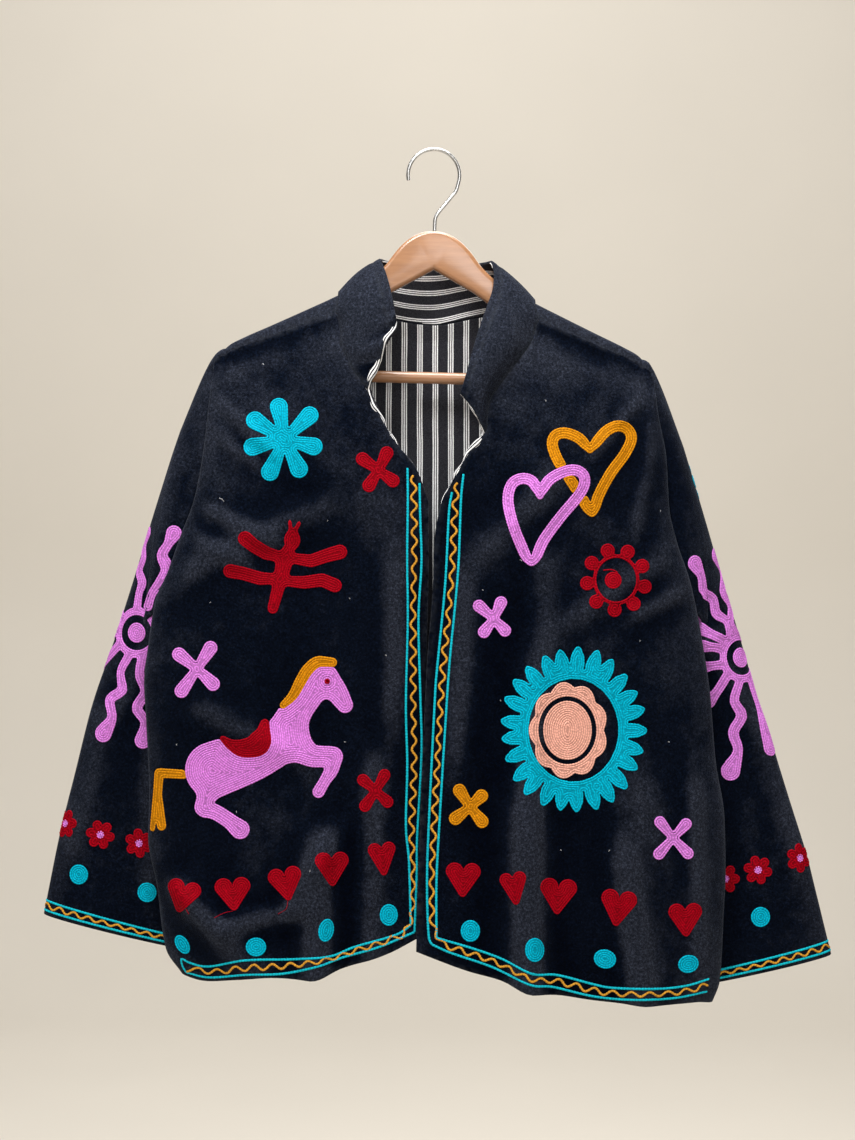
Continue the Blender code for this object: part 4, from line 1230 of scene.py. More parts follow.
def rope(work, colour, run, width, high):
    """One row: a rounded rope of thread, lower and narrower at each stitch hole."""
    if len(run) < 2:
        return
    count = 2 * len(run) - 1
    line = np.empty((count, 3))
    ups = np.empty((count, 3))
    for made, k in ((line, 0), (ups, 1)):
        holes = np.array([spot[k] for spot in run])
        made[::2] = holes
        made[1::2] = (holes[1:] + holes[:-1]) / 2
    ups /= np.linalg.norm(ups, axis=1)[:, None]
    along = np.gradient(line, axis=0)
    size = np.linalg.norm(along, axis=1)[:, None]
    along = along / np.maximum(size, 1e-6)
    across = np.cross(ups, along)
    full = np.tile((HOLE_SHARE, 1.0), len(run))[:count]
    full = full * rng.uniform(*UNEVEN, count)
    wide = (width / 2 * (0.55 + 0.45 * full))[:, None]
    tall = (high * full)[:, None]
    lean = np.tile((0.0, ROPE_LEAN), len(run))[:count, None] * size * along
    side = across * wide
    foot = ups * ROPE_SUNK
    crest = ups * tall - lean
    section_points = (line - side - foot, line - side * ROPE_CREST + crest,
                      line + side * ROPE_CREST + crest, line + side - foot)
    verts = np.stack(section_points, axis=1).reshape(-1, 3)
    faces = []
    for k in range(count - 1):
        for s in range(3):
            faces.append((4 * k + s, 4 * k + s + 1, 4 * k + s + 5, 4 * k + s + 4))
    # Rises for the thread's painted shade: 0 at the rope's feet, low at the stitch holes
    top = np.tile((HOLE_RISE, 1.0), len(run))[:count]
    rises = np.stack([0 * top, top, top, 0 * top], axis=1).ravel()
    work.add(colour, verts, faces, list(rises))


def stroke(points):
    """Round-ended stroke through points (x, z, radius)."""

    def field(x, z):
        best = np.full(x.shape, 1e9)
        for (ax, az, ar), (bx, bz, br) in zip(points, points[1:]):
            run = np.array((bx - ax, bz - az), float)
            size = max(run @ run, 1e-9)
            share = np.clip(((x - ax) * run[0] + (z - az) * run[1]) / size, 0, 1)
            far = np.hypot(x - ax - share * run[0], z - az - share * run[1])
            best = np.minimum(best, far - (ar + (br - ar) * share))
        return best

    reach = np.array(points, float)
    low = (reach[:, :2] - reach[:, 2:]).min(axis=0)
    high = (reach[:, :2] + reach[:, 2:]).max(axis=0)
    return field, low, high


def oval(cx, cz, rx, rz, tilt=0.0, lobes=0, depth=0.0):
    """Oval, tilted in degrees, with its edge in and out by depth in so many lobes."""
    turn = math.radians(tilt)

    def field(x, z):
        u = (x - cx) * math.cos(turn) + (z - cz) * math.sin(turn)
        w = -(x - cx) * math.sin(turn) + (z - cz) * math.cos(turn)
        size = np.hypot(u / rx, w / rz)
        edge = 1 + depth * (np.abs(np.sin(lobes / 2 * np.arctan2(w / rz, u / rx))) - 0.5)
        return (size - edge) * min(rx, rz)

    reach = max(rx, rz) * (1 + depth)
    return field, np.array((cx - reach, cz - reach)), np.array((cx + reach, cz + reach))


def ring(cx, cz, rx, rz, half):
    whole = oval(cx, cz, rx + half, rz + half)
    hole = oval(cx, cz, rx - half, rz - half)

    def field(x, z):
        return np.maximum(whole[0](x, z), -hole[0](x, z))

    return field, whole[1], whole[2]


def curve_points(corners, count=10):
    """Smooth line through corners of any width, by a rounded spline."""
    corners = np.asarray(corners, float)
    padded = np.vstack([2 * corners[0] - corners[1], corners, 2 * corners[-1] - corners[-2]])
    found = []
    for k in range(1, len(padded) - 2):
        a, b, c, d = padded[k - 1 : k + 3]
        for t in np.arange(count) / count:
            found.append(
                0.5 * (2 * b + (c - a) * t + (2 * a - 5 * b + 4 * c - d) * t**2
                       + (3 * b - a - 3 * c + d) * t**3)
            )
    found.append(corners[-1])
    return np.array(found)


def outlines(field, level):
    """Closed lines of a grid where the field crosses a level, as grid places."""
    inside = field > level
    mixed = inside[:-1, :-1] * 1 + inside[1:, :-1] * 2 + inside[1:, 1:] * 4 + inside[:-1, 1:] * 8
    joins = {}
    for i, j in np.argwhere((mixed > 0) & (mixed < 15)):
        corners = ((i, j), (i + 1, j), (i + 1, j + 1), (i, j + 1))
        cuts = []
        for k in range(4):
            a = corners[k]
            b = corners[(k + 1) % 4]
            if inside[a] != inside[b]:
                cuts.append((min(a, b), max(a, b)))
        for first, second in zip(cuts[::2], cuts[1::2]):
            joins.setdefault(first, []).append(second)
            joins.setdefault(second, []).append(first)
    lines = []
    while joins:
        start = next(iter(joins))
        line = [start]
        here = start
        while True:
            ways = joins.pop(here, [])
            after = [way for way in ways if way in joins]
            if not after:
                break
            here = after[0]
            line.append(here)
        spots = []
        for a, b in line:
            share = (level - field[a]) / (field[b] - field[a])
            spots.append((a[0] + (b[0] - a[0]) * share, a[1] + (b[1] - a[1]) * share))
        lines.append(np.array(spots))
    return lines


def joined(first, second, blend):
    """The lesser of two depths, rounded where they meet."""
    if not blend:
        return np.minimum(first, second)
    near = np.maximum(blend - np.abs(first - second), 0.0) / blend
    return np.minimum(first, second) - near * near * blend / 4


def embroider(work, view, colour, parts, cut=(), step=0.6, row=ROW, blend=0.0, tall=LINK_HIGH):
    """Fills the shapes with chain-stitch rows that follow their outline, over a low patch."""
    low = np.min([part[1] for part in parts], axis=0) - 3
    high = np.max([part[2] for part in parts], axis=0) + 3
    xs = np.arange(low[0], high[0], step)
    zs = np.arange(low[1], high[1], step)
    x, z = np.meshgrid(xs, zs, indexing="ij")
    shape = parts[0][0](x, z)
    for part in parts[1:]:
        shape = joined(shape, part[0](x, z), blend)
    for part in cut:
        shape = np.maximum(shape, -CUT_LAP - part[0](x, z))
    edges = outlines(-shape, 0.0)
    spots = np.vstack(edges) * step + low
    tree = kdtree.KDTree(len(spots))
    for index, spot in enumerate(spots):
        tree.insert((spot[0], spot[1], 0.0), index)
    tree.balance()
    depth = -np.abs(shape) * 0.01
    for i, j in np.argwhere(shape < 0):
        depth[i, j] = tree.find((x[i, j], z[i, j], 0.0))[2]
    level = row * FIRST_ROW
    while level < depth.max():
        for line in outlines(depth, level):
            if len(line) > 5:
                stitch_row(work, colour, view, line * step + low, width=row * ROW_LAP, high=tall,
                           closed=True)
        level += row
    patch(work, view, colour, depth, low, step)


def patch(work, view, colour, depth, low, step):
    """Low ground of the same thread under the rows."""
    stride = max(1, int(round(PATCH_STEP / step)))
    coarse = depth[::stride, ::stride]
    size = stride * step
    numbers = {}
    verts = []
    faces = []

    def corner(i, j):
        if (i, j) not in numbers:
            found = view.at(low[0] + i * size, low[1] + j * size)
            if found is None:
                numbers[(i, j)] = None
            else:
                numbers[(i, j)] = len(verts)
                verts.append(found[0] + found[1] * PATCH_LIFT)
        return numbers[(i, j)]

    for i in range(coarse.shape[0] - 1):
        for j in range(coarse.shape[1] - 1):
            if coarse[i : i + 2, j : j + 2].min() < PATCH_INSET:
                continue
            found = [corner(i, j), corner(i + 1, j), corner(i + 1, j + 1), corner(i, j + 1)]
            if None not in found:
                faces.append(tuple(found))
    if faces:
        # Given no rises, the patch takes the thread's full painted shade
        work.add(colour, verts, faces)


def in_cell(grid, rows, columns, s, t):
    """Value inside a cell of a grid, from its four corners."""
    near, far = (grid[row, columns[0]] * (1 - t) + grid[row, columns[1]] * t for row in rows)
    return near * (1 - s) + far * s


class PolarView:
    """Lays flat shapes on a panel round one spot: straight walks over the cloth from it."""

    TURNS = 72
    STEP = 2.5

    def __init__(self, panel, x, down, reach, behind=False):
        outer = panel.face()
        tree = bvhtree.BVHTree.FromPolygons([Vector(p) for p in outer], panel.cells)
        self.tree = tree
        eye = Vector((EYE[0], -EYE[1] if behind else EYE[1], EYE[2]))
        plane = Vector((x + VIEW_LEFT, -VIEW_PLANE if behind else VIEW_PLANE, VIEW_TOP - down))
        hit = tree.ray_cast(eye, (plane - eye).normalized())
        if hit[0] is None or hit[0].y * eye.y < 0 and abs(hit[0].y) > 60:
            hit = tree.find_nearest(plane)
        centre, normal = hit[0], self.smooth_way(panel, outer, hit[2], hit[0])
        if normal.dot(eye - centre) < 0 and hit[1].dot(eye - centre) < 0:
            normal = -normal
        side = Vector((-1 if behind else 1, 0, 0))
        level = (side - normal * side.dot(normal)).normalized()
        if abs(side.dot(normal)) > 0.9:
            level = Vector((0, 0, -1)).cross(normal).normalized()
        fall = normal.cross(level)
        if fall.z > 0:
            fall = -fall
        self.count = int(reach / self.STEP) + 2
        self.spots = np.zeros((self.TURNS, self.count, 3))
        self.ways = np.zeros((self.TURNS, self.count, 3))
        for t in range(self.TURNS):
            turn = 2 * math.pi * t / self.TURNS
            heading = level * math.cos(turn) + fall * math.sin(turn)
            spot = centre.copy()
            way = normal.copy()
            for k in range(self.count):
                self.spots[t, k] = spot
                self.ways[t, k] = way
                found = tree.find_nearest(spot + heading * self.STEP)
                way = self.smooth_way(panel, outer, found[2], found[0])
                if way.dot(Vector(self.ways[t, k])) < 0:
                    way = -way
                spot = found[0]
                heading = (heading - way * heading.dot(way)).normalized()

    @staticmethod
    def smooth_way(panel, outer, index, spot):
        """Normal at a spot of a face, blended from its corners."""
        total = Vector((0, 0, 0))
        for corner in panel.cells[index]:
            near = (Vector(outer[corner]) - spot).length
            total += Vector(panel.normals[corner]) / (near + 0.5)
        return total.normalized()

    def at(self, x, y):
        far = math.hypot(x, y) / self.STEP
        turn = math.atan2(y, x) / (2 * math.pi) * self.TURNS % self.TURNS
        t = int(turn) % self.TURNS
        k = min(int(far), self.count - 2)
        s = turn - int(turn)
        r = min(far - k, 1.0)
        after = (t + 1) % self.TURNS
        spot, way = (in_cell(grid, (t, after), (k, k + 1), s, r)
                     for grid in (self.spots, self.ways))
        near = self.tree.find_nearest(Vector(spot))[0]
        return np.array(near), way / np.linalg.norm(way)


def cross(x, down, ends, half):
    """Four round-ended arms from one middle."""
    return [stroke([(x, down, half * 0.62), (ex, ey, half)]) for ex, ey in ends]


def flower(x, down, tips, half):
    return [stroke([(x, down, half * 0.45), (tx, ty, half)]) for tx, ty in tips]


def heart(x, down, wide, tall, tilt=0.0):
    """Filled heart: two lobes drawn together into a point."""
    turn = math.radians(tilt)

    def place(u, w):
        across = x + u * math.cos(turn) - w * math.sin(turn)
        return across, down + u * math.sin(turn) + w * math.cos(turn)

    parts = []
    for hand in (-1, 1):
        lobe = place(hand * wide * 0.25, -tall * 0.24)
        parts.append(stroke([(*lobe, wide * 0.255), (*place(hand * 1.0, tall * 0.44), 2.0)]))
    parts.append(stroke([(*place(0, -tall * 0.02), wide * 0.2), (*place(0, tall * 0.4), 2.0)]))
    return parts


def thick_line(corners, half, points=()):
    """Line of one thickness, drawn thinner near the points given."""
    line = []
    for x, y in curve_points(corners, 6):
        close = [math.exp(-(((x - px) ** 2 + (y - py) ** 2) / 40.0)) for px, py in points]
        near = max(close + [0.0])
        line.append((x, y, half * (1 - 0.42 * near)))
    return [stroke(line)]


def curved(points):
    """Soft curve through (x, down, radius) points."""
    line = np.asarray(points, float)
    length = path_length(line[:, :2])
    stops = np.linspace(0, length[-1], 3 * len(line))
    return [tuple(float(smooth(length, line[:, k], stop)) for k in range(3)) for stop in stops]


# Motifs of the right front (the viewer's left)
PETAL_TIPS = ((278.8, 407), (309.6, 415.5), (313.6, 446.5), (299, 469), (270, 472),
              (252.5, 447), (255, 420.5))
DRAGONFLY = {
    "head": (292.2, 540, 8.2, 10.2),
    "feelers": (((291, 533, 1.6), (289.8, 521.5, 2.0)), ((294, 533, 1.6), (299.2, 523, 2.2))),
    "body": ((287.5, 552, 6.5), (284, 563, 8.4), (279, 585, 6.5), (272.8, 608.5, 5.4)),
    "wings": (
        ((284, 558, 5), (266, 553, 6.8), (253.5, 545.5, 7), (245, 538.5, 7.4)),
        ((290, 558, 5), (311, 561, 6.4), (327, 555.5, 6.8), (340, 552, 7.4)),
        ((279, 579, 5), (260, 578.5, 6.6), (243, 573.5, 6.6), (230, 571, 7)),
        ((284, 581, 5), (304, 582.5, 6.4), (322, 580, 6.6), (335, 585.5, 7)),
    ),
}
HORSE = {
    "trunk": ((213, 770, 28), (250, 756, 26), (287, 739, 21)),
    "neck": ((287, 738, 21), (291, 722, 18), (301, 706, 14.5), (313, 690, 14), (322, 678, 14.5)),
    "head": ((322, 678, 14.5), (335, 690, 11.5), (345, 705, 8.2)),
    "foreleg": ((298, 748, 14), (316, 756.5, 11), (333, 756.8, 10.2), (331.5, 769, 7.6),
                (324.5, 781.5, 5.8), (318.5, 792, 6.2)),
    "hindleg": ((207, 796, 9), (203.5, 807.5, 9.2), (214, 811.5, 7.8), (228, 820, 7.8),
                (240, 829.5, 9.8)),
}
OVER_SADDLE = (243, 725, 22, 14.5, -22)
SADDLE = ((222.5, 738.5, 3), (232, 745.2, 5.8), (243, 748.3, 9.2), (254, 746.5, 11),
          (258.5, 743.5, 12),
          (263.2, 733, 7.4), (264.8, 723.6, 4.8))
MANE = ((283, 705.5, 3.6), (293, 695.5, 5), (300.3, 682, 5.8), (308.5, 669, 6),
        (319.5, 661.5, 5.6), (332.5, 662.5, 4.8))
TAIL = (
    ((185.5, 774.5, 4.6), (159, 773, 4.8), (157.5, 795, 4.6), (161.5, 826, 4.8)),
    ((156, 792, 3), (152.5, 829, 2.8)),
)
RIGHT_HEARTS = (
    (182.5, 896.5, 34, 33, 14), (233, 894.6, 36, 33, -4), (286, 884, 34, 34, -10),
    (332, 869, 34, 35, -2), (382.5, 858, 28, 36, -6),
)
RIGHT_DOTS = (
    (182.3, 944.5, 6.6, 10.6, -32), (256, 947, 10.4, 9.6, 0), (326.2, 930.3, 7.8, 11.8, 12),
    (388.8, 915, 9.2, 11.0, 0),
)
LOOSE_THREADS = (
    ((233, 911), (224, 913), (214, 918)), ((288, 901), (286, 909), (278, 914)),
    ((186, 909), (189, 914)),
)
RIGHT_TRIM = {
    "outer": ((407.5, 468), (407.8, 500), (407.2, 560), (407.8, 620), (405.9, 705), (407.3, 765),
              (405.9, 826), (409, 862), (410.9, 925)),
    "inner": ((419.5, 483), (420.3, 520), (421.5, 563), (418.5, 620), (420.5, 700), (421.6, 753),
              (417.2, 838), (416.8, 874), (414.6, 932)),
    "upper": ((410.9, 925), (395.7, 935), (354.5, 947), (330, 956.5), (294, 959.3), (245, 960.5),
              (209, 966.6), (190, 963), (181.5, 958.5), (182.5, 966), (186.5, 972.5)),
    "lower": ((414.6, 932), (378.7, 947.2), (342.4, 957.5), (318, 966.6), (282, 973.9),
              (245, 975), (209, 977.5), (186.5, 972.5)),
}

RIGHT_LINT = (
    (219, 498, 35, 6), (236, 811, 80, 1.8), (349, 598, 60, 1.5), (262, 364, 20, 2),
    (310, 870, 100, 2.2), (211, 602, 150, 1.6), (344, 742, 10, 1.8), (176, 744, 70, 1.6),
    (328, 520, 120, 1.4), (385, 655, 40, 1.6),
)

# Motifs of the left front (the viewer's right)
GOLD_HEART = ((590, 450.5), (579.3, 438.5), (565.3, 433), (555, 436), (552.5, 446),
              (559, 462.4), (571.8, 482),
              (582, 498), (592.3, 514), (598.5, 496), (610.8, 473.2), (625, 453.7), (631.5, 438.5),
              (627, 428.7), (617.3, 426), (606.5, 431), (597.8, 440.7), (590, 450.5))
PINK_HEART = ((540, 496.5), (532.7, 481.9), (521.9, 478.6), (512, 484), (508, 498), (510.8, 516.6),
              (519, 540.4), (531.7, 563), (543.6, 540.4), (560.9, 516.6), (577.5, 497),
              (584.5, 484),
              (583, 474.5), (573.9, 470), (560.9, 473), (547.9, 481.5), (540, 496.5))
HEART_HALF = 5.6
RING_FLOWER = {"centre": (616.2, 579.7), "ring": 21.6, "petals": 9, "at": 29.2, "petal": 7.3}
SUNBURST = {
    "centre": (573.5, 730.3), "petals": 25, "ring": (49.0, 55.5), "tips": (71.0, 80.4),
    "petal": ((0.0, 5.0), (0.40, 7.5), (0.66, 6.9), (0.86, 5.0), (1.02, 2.8)),
    "scallop": (37.5, 46.0), "hole": (29.3, 34.3), "heart": (24.5, 29.5), "face": (567.5, 730.3),
}
LEFT_HEARTS = (
    (463, 880, 35, 35, 2), (514, 887.5, 27, 36, -8), (558, 896.5, 37, 36, 4), (618, 908, 36, 37, 8),
    (685.5, 920, 34, 34, -2),
)
LEFT_DOTS = (
    (470.4, 931, 9.8, 11, 0), (534.8, 950, 9.8, 12.2, 0), (605, 959, 11.4, 9.6, 14),
    (688.4, 964, 10.6, 9, -14),
)
LEFT_LINT = (
    (520, 560, 30, 2), (640, 640, 100, 1.8), (668, 742, 10, 1.6), (500, 700, 60, 1.6),
    (610, 850, 140, 2),
    (560, 850, 30, 1.5), (660, 510, 80, 1.7), (482, 590, 20, 1.5), (545, 400, 60, 1.8),
)
LEFT_TRIM = {
    "outer": ((452, 492), (449, 512), (446.5, 563), (444, 599), (437, 670), (435, 697), (429, 820),
              (427, 881), (428.5, 934), (432, 944.5)),
    "inner": ((463.5, 474), (461, 500), (458.6, 563), (455, 607), (450.5, 652), (447, 699),
              (439.6, 820), (436.5, 881), (436.5, 938)),
    "upper": ((436.5, 938), (471, 948), (502, 959), (532, 974), (557, 975), (594, 984.5),
              (614, 988),
              (655, 989), (685.5, 986), (709, 979)),
    "lower": ((432, 944.5), (451, 953), (492, 967), (530, 985), (553, 987), (594, 996.5),
              (634.5, 1000), (675, 998), (707, 991.5)),
}

# Four-armed crosses: colour, middle, tips and half width
CROSSES = {
    "chest": ("red", 378.5, 470.5, ((362.5, 459), (386.8, 453), (369, 485.5), (393, 480.8)), 6.9),
    "ribs": ("pink", 197, 669, ((179, 654.5), (210.5, 648), (181.5, 691), (213, 684)), 7.2),
    "hip": ("red", 375.8, 791, ((363, 780), (384.5, 775), (365, 806), (387.5, 802)), 6.2),
    "left_waist": ("pink", 494, 619, ((479, 606), (501, 602.5), (484, 632), (505, 630.5)), 6.4),
    "left_edge": ("gold", 470, 807,
                  ((459.5, 790.5), (481.5, 796), (455.5, 818.5), (482, 821.5)), 6.8),
    "left_hip": ("pink", 673, 838, ((660, 822), (686, 824), (659, 854), (688, 853.5)), 6.0),
}

# Sleeve suns: centre in the view, then rays in mm right of the centre and down from it
SLEEVE_SUNS = {
    "right": ((136.8, 632.7), (
        ((0, -24, 4.8), (2, -40, 4.4), (6, -52, 5.6), (0, -64, 5.4), (6, -77, 4.6), (2, -90, 5.4),
         (5, -102, 8.0)),
        ((-9, 24, 5), (-18, 42, 4.6), (-15, 58, 5.6), (-29, 70, 5.6), (-25, 86, 4.8),
         (-34.5, 104, 9.4)),
        ((7, 23, 5), (3.5, 43, 4.8), (10, 60, 5.6), (0, 78, 5.4), (9, 93, 5.0), (6, 111, 8.8)),
        ((-20, -14, 5), (-46, -38, 5), (-62, -46, 6.6), (-78, -66, 8.6)),
        ((-23, -2, 5), (-50, 4, 5), (-74, -4, 6.6), (-96, 3, 8.8)),
        ((-20, 12, 5), (-44, 32, 5), (-62, 40, 6.6), (-80, 60, 8.8)),
    )),
    "left": ((741.0, 657.5), (
        ((-14, -20, 5), (-20, -37, 4.6), (-32, -44, 5.6), (-36, -58, 5.4), (-50, -65, 5.6),
         (-54, -80, 5.0), (-63, -93, 8.6)),
        ((-2, -22, 5), (-14, -36, 4.6), (-11, -52, 5.6), (-23, -68, 5.6), (-20, -86, 5.0),
         (-31, -103, 8.8)),
        ((-20, -16, 5), (-34, -21, 5), (-50, -28, 7.0)),
        ((-22, -7, 5), (-34, -9, 4.6), (-46, -9, 6.6)),
        ((-20, 8, 5), (-32, 10, 4.6), (-43, 13, 6.6)),
        ((-17, 19, 5), (-26, 36, 4.8), (-34, 47, 7.0)),
        ((-2, 23, 5), (-8, 44, 4.8), (1, 60, 5.6), (-7, 78, 5.6), (-1, 95, 5.0), (-8, 117, 10.4)),
        ((12, 20, 5), (21, 46, 4.6), (26, 66, 6.6), (34, 92, 8.8)),
        ((21, 10, 5), (46, 22, 5), (66, 34, 6.6), (84, 40, 8.8)),
        ((23, -4, 5), (50, -12, 5), (70, -10, 6.6), (92, -22, 8.8)),
        ((16, -17, 5), (34, -42, 5), (44, -62, 6.6), (62, -80, 8.8)),
    )),
}
# One more ray of the right sleeve's sun, laid as seen because the cloth turns away there
SEEN_RAY = (
    (148, 606.8, 4.6), (152, 594, 4.4), (160.5, 582, 5.4), (167.5, 569, 6.6), (162, 555.5, 5.4),
    (168, 544.5, 4.8), (173.8, 533.5, 8.2),
)
SUN_REACH = 135.0
# Small flowers and dots: places in the view from the front and from behind
SLEEVE_FLOWERS = {
    "right": (((65.5, 823.5), (100.4, 834.7), (139.1, 843.2)), ((88, 830), (126, 840), (164, 848))),
    "left": (((725.4, 879), (758, 870), (800, 858)), ((704, 884), (742, 874), (779, 864))),
}
SLEEVE_DOTS = {
    "right": (((78.7, 874.5), (147, 892.4)), ((112, 884), (172, 896))),
    "left": (((760.6, 917),), ((730, 922), (788, 910))),
}
FLOWER_TIP = 10.2
FLOWER_HALF = 5.2
SLEEVE_STAR = (697, 476)
STAR_TIP = 17.0
CUFF_LINES = (4.2, 14.0)
HEM_LINES = (6.0, 18.0)
HEM_END = 4.0
TRIM_WIDTH = 2.7
TRIM_HIGH = 1.0


def wave_line(line, swing, wavelength):
    """Regular wave about a line, with slightly uneven turns."""
    line = np.asarray(line, float)
    length = path_length(line)
    stops = np.arange(0, length[-1], 1.5)
    spots = points_at(line, length, stops)
    way = np.gradient(spots, axis=0)
    way = way / np.linalg.norm(way, axis=1, keepdims=True)
    side = np.stack([-way[:, 1], way[:, 0]], -1)
    phase = 2 * math.pi * stops / wavelength + 0.5 * np.sin(stops / 41.0)
    return spots + side * (swing * np.sin(phase) * (1 + 0.15 * np.sin(stops / 23.0)))[:, None]


def between(first, second, count=60):
    """Line midway between two lines."""
    both = []
    for line in (first, second):
        length = path_length(line)
        both.append(points_at(line, length, np.linspace(0, length[-1], count)))
    return (both[0] + both[1]) / 2


def trim_rows(work, view, edges, middle, swing=2.7, wavelength=18.0, width=TRIM_WIDTH):
    """Turquoise rows along a border's edges, and a gold wave along its middle."""
    for line in edges:
        stitch_row(work, "trim_turquoise", view, line, width=TRIM_WIDTH, link=3.0, high=TRIM_HIGH)
    wave = wave_line(middle, swing, wavelength)
    stitch_row(work, "trim_gold", view, wave, width=width, link=2.8, high=TRIM_HIGH)


def trim(work, view, table):
    """Border down a front edge and along the hem, its corner left to the wave."""
    lines = {key: curve_points(table[key], 6) for key in table}
    down = between(lines["outer"], lines["inner"])
    along = between(lines["lower"], lines["upper"])
    trim_rows(work, view, lines.values(), np.vstack([down[:-2], along[2:]]))


def level_trim(work, view, low, high, heights, count, **wave):
    """Border between two heights of a view, from one place along it to another."""
    places = np.linspace(low, high, count)
    edges = [[(a, height) for a in places] for height in heights]
    middle = [(a, sum(heights) / 2) for a in places]
    trim_rows(work, view, edges, middle, **wave)


def lint(work, view, spots):
    """Short loose fibres caught in the nap."""
    for x, down, degrees, long in spots:
        turn = math.radians(degrees)
        ends = [(x, down), (x + long * math.cos(turn), down + long * math.sin(turn))]
        bend = ((ends[0][0] + ends[1][0]) / 2 + 0.6, (ends[0][1] + ends[1][1]) / 2 - 0.6)
        stitch_row(work, "lint", view, [ends[0], bend, ends[1]], width=0.5, link=1.4, high=0.35)


def lower_motifs(work, view, hearts, dots):
    for spec in hearts:
        embroider(work, view, "red", heart(*spec))
    for spec in dots:
        embroider(work, view, "turquoise", [oval(*spec)])


def cross_motif(work, view, which):
    colour, *spec = CROSSES[which]
    embroider(work, view, colour, cross(*spec))


def right_front_motifs(work, view):
    turquoise = flower(284.5, 439.5, PETAL_TIPS, 9.2)
    embroider(work, view, "turquoise", turquoise)
    cross_motif(work, view, "chest")
    dragonfly = [oval(*DRAGONFLY["head"]), stroke(DRAGONFLY["body"])]
    dragonfly += [stroke(line) for line in DRAGONFLY["feelers"] + DRAGONFLY["wings"]]
    embroider(work, view, "red", dragonfly, blend=3.0)
    cross_motif(work, view, "ribs")
    horse = [stroke(curved(HORSE[key])) for key in HORSE]
    saddle = [stroke(curved(SADDLE))]
    mane = [stroke(curved(MANE))]
    eye = [oval(327.2, 681.3, 3.1, 3.1)]
    above = [oval(*OVER_SADDLE)]
    embroider(work, view, "pink", horse, cut=saddle + mane + above + eye, blend=7.0)
    embroider(work, view, "red", saddle)
    embroider(work, view, "gold", mane)
    embroider(work, view, "red", eye, row=1.8, tall=2.0)
    embroider(work, view, "gold", [stroke(line) for line in TAIL], cut=horse)
    cross_motif(work, view, "hip")
    lower_motifs(work, view, RIGHT_HEARTS, RIGHT_DOTS)
    for line in LOOSE_THREADS:
        stitch_row(work, "red", view, curve_points(line, 5), width=0.7, link=1.6, high=0.6)
    trim(work, view, RIGHT_TRIM)
    lint(work, view, RIGHT_LINT)


def left_front_motifs(work, view):
    pink_heart = thick_line(PINK_HEART, HEART_HALF, ((540, 495), (531.7, 563)))
    gold_heart = thick_line(GOLD_HEART, HEART_HALF, ((590, 450), (592.3, 514)))
    embroider(work, view, "gold", gold_heart, cut=pink_heart)
    embroider(work, view, "pink", pink_heart)
    x, down = RING_FLOWER["centre"]
    parts = [ring(x, down, RING_FLOWER["ring"], RING_FLOWER["ring"] + 2, 1.8)]
    for k in range(RING_FLOWER["petals"]):
        turn = 2 * math.pi * (k + 0.33) / RING_FLOWER["petals"]
        far = RING_FLOWER["at"]
        parts.append(oval(x + far * math.cos(turn), down + (far + 1) * math.sin(turn),
                          RING_FLOWER["petal"], RING_FLOWER["petal"]))
    parts.append(oval(x - 3, down + 0.6, 8.6, 8.6))
    embroider(work, view, "red", parts)
    tail = curve_points(((x + 1.5, down - 7), (x - 4, down - 10), (x - 13, down - 9.5)), 5)
    stitch_row(work, "red", view, tail, width=1.5)
    cross_motif(work, view, "left_waist")
    sunburst(work, view)
    cross_motif(work, view, "left_edge")
    cross_motif(work, view, "left_hip")
    lower_motifs(work, view, LEFT_HEARTS, LEFT_DOTS)
    trim(work, view, LEFT_TRIM)
    lint(work, view, LEFT_LINT)


def sunburst(work, view):
    x, down = SUNBURST["centre"]
    rx, ry = SUNBURST["ring"]
    tip_x, tip_y = SUNBURST["tips"]
    parts = [ring(x, down, rx + 1, ry + 1, 5.2)]
    inside = oval(x, down, rx - 4, ry - 4)
    count = SUNBURST["petals"]
    for k in range(count):
        turn = 2 * math.pi * (k + 0.02 + 0.06 * math.sin(2.3 * k)) / count
        way = (math.cos(turn), math.sin(turn))
        reach = 1 + 0.02 * math.sin(5.1 * k)
        petal = []
        for share, half in SUNBURST["petal"]:
            far_x = (rx + share * (tip_x - rx)) * (reach if share else 1)
            far_y = (ry + share * (tip_y - ry)) * (reach if share else 1)
            petal.append((x + far_x * way[0], down + far_y * way[1], half))
        parts.append(stroke(petal))
    embroider(work, view, "turquoise", parts, cut=[inside])
    x, down = SUNBURST["face"]
    hole = oval(x, down, *SUNBURST["hole"])
    scallop = oval(x + 1, down, *SUNBURST["scallop"], lobes=9, depth=0.12)
    embroider(work, view, "peach", [scallop], cut=[hole])
    embroider(work, view, "peach", [oval(x, down, *SUNBURST["heart"])])


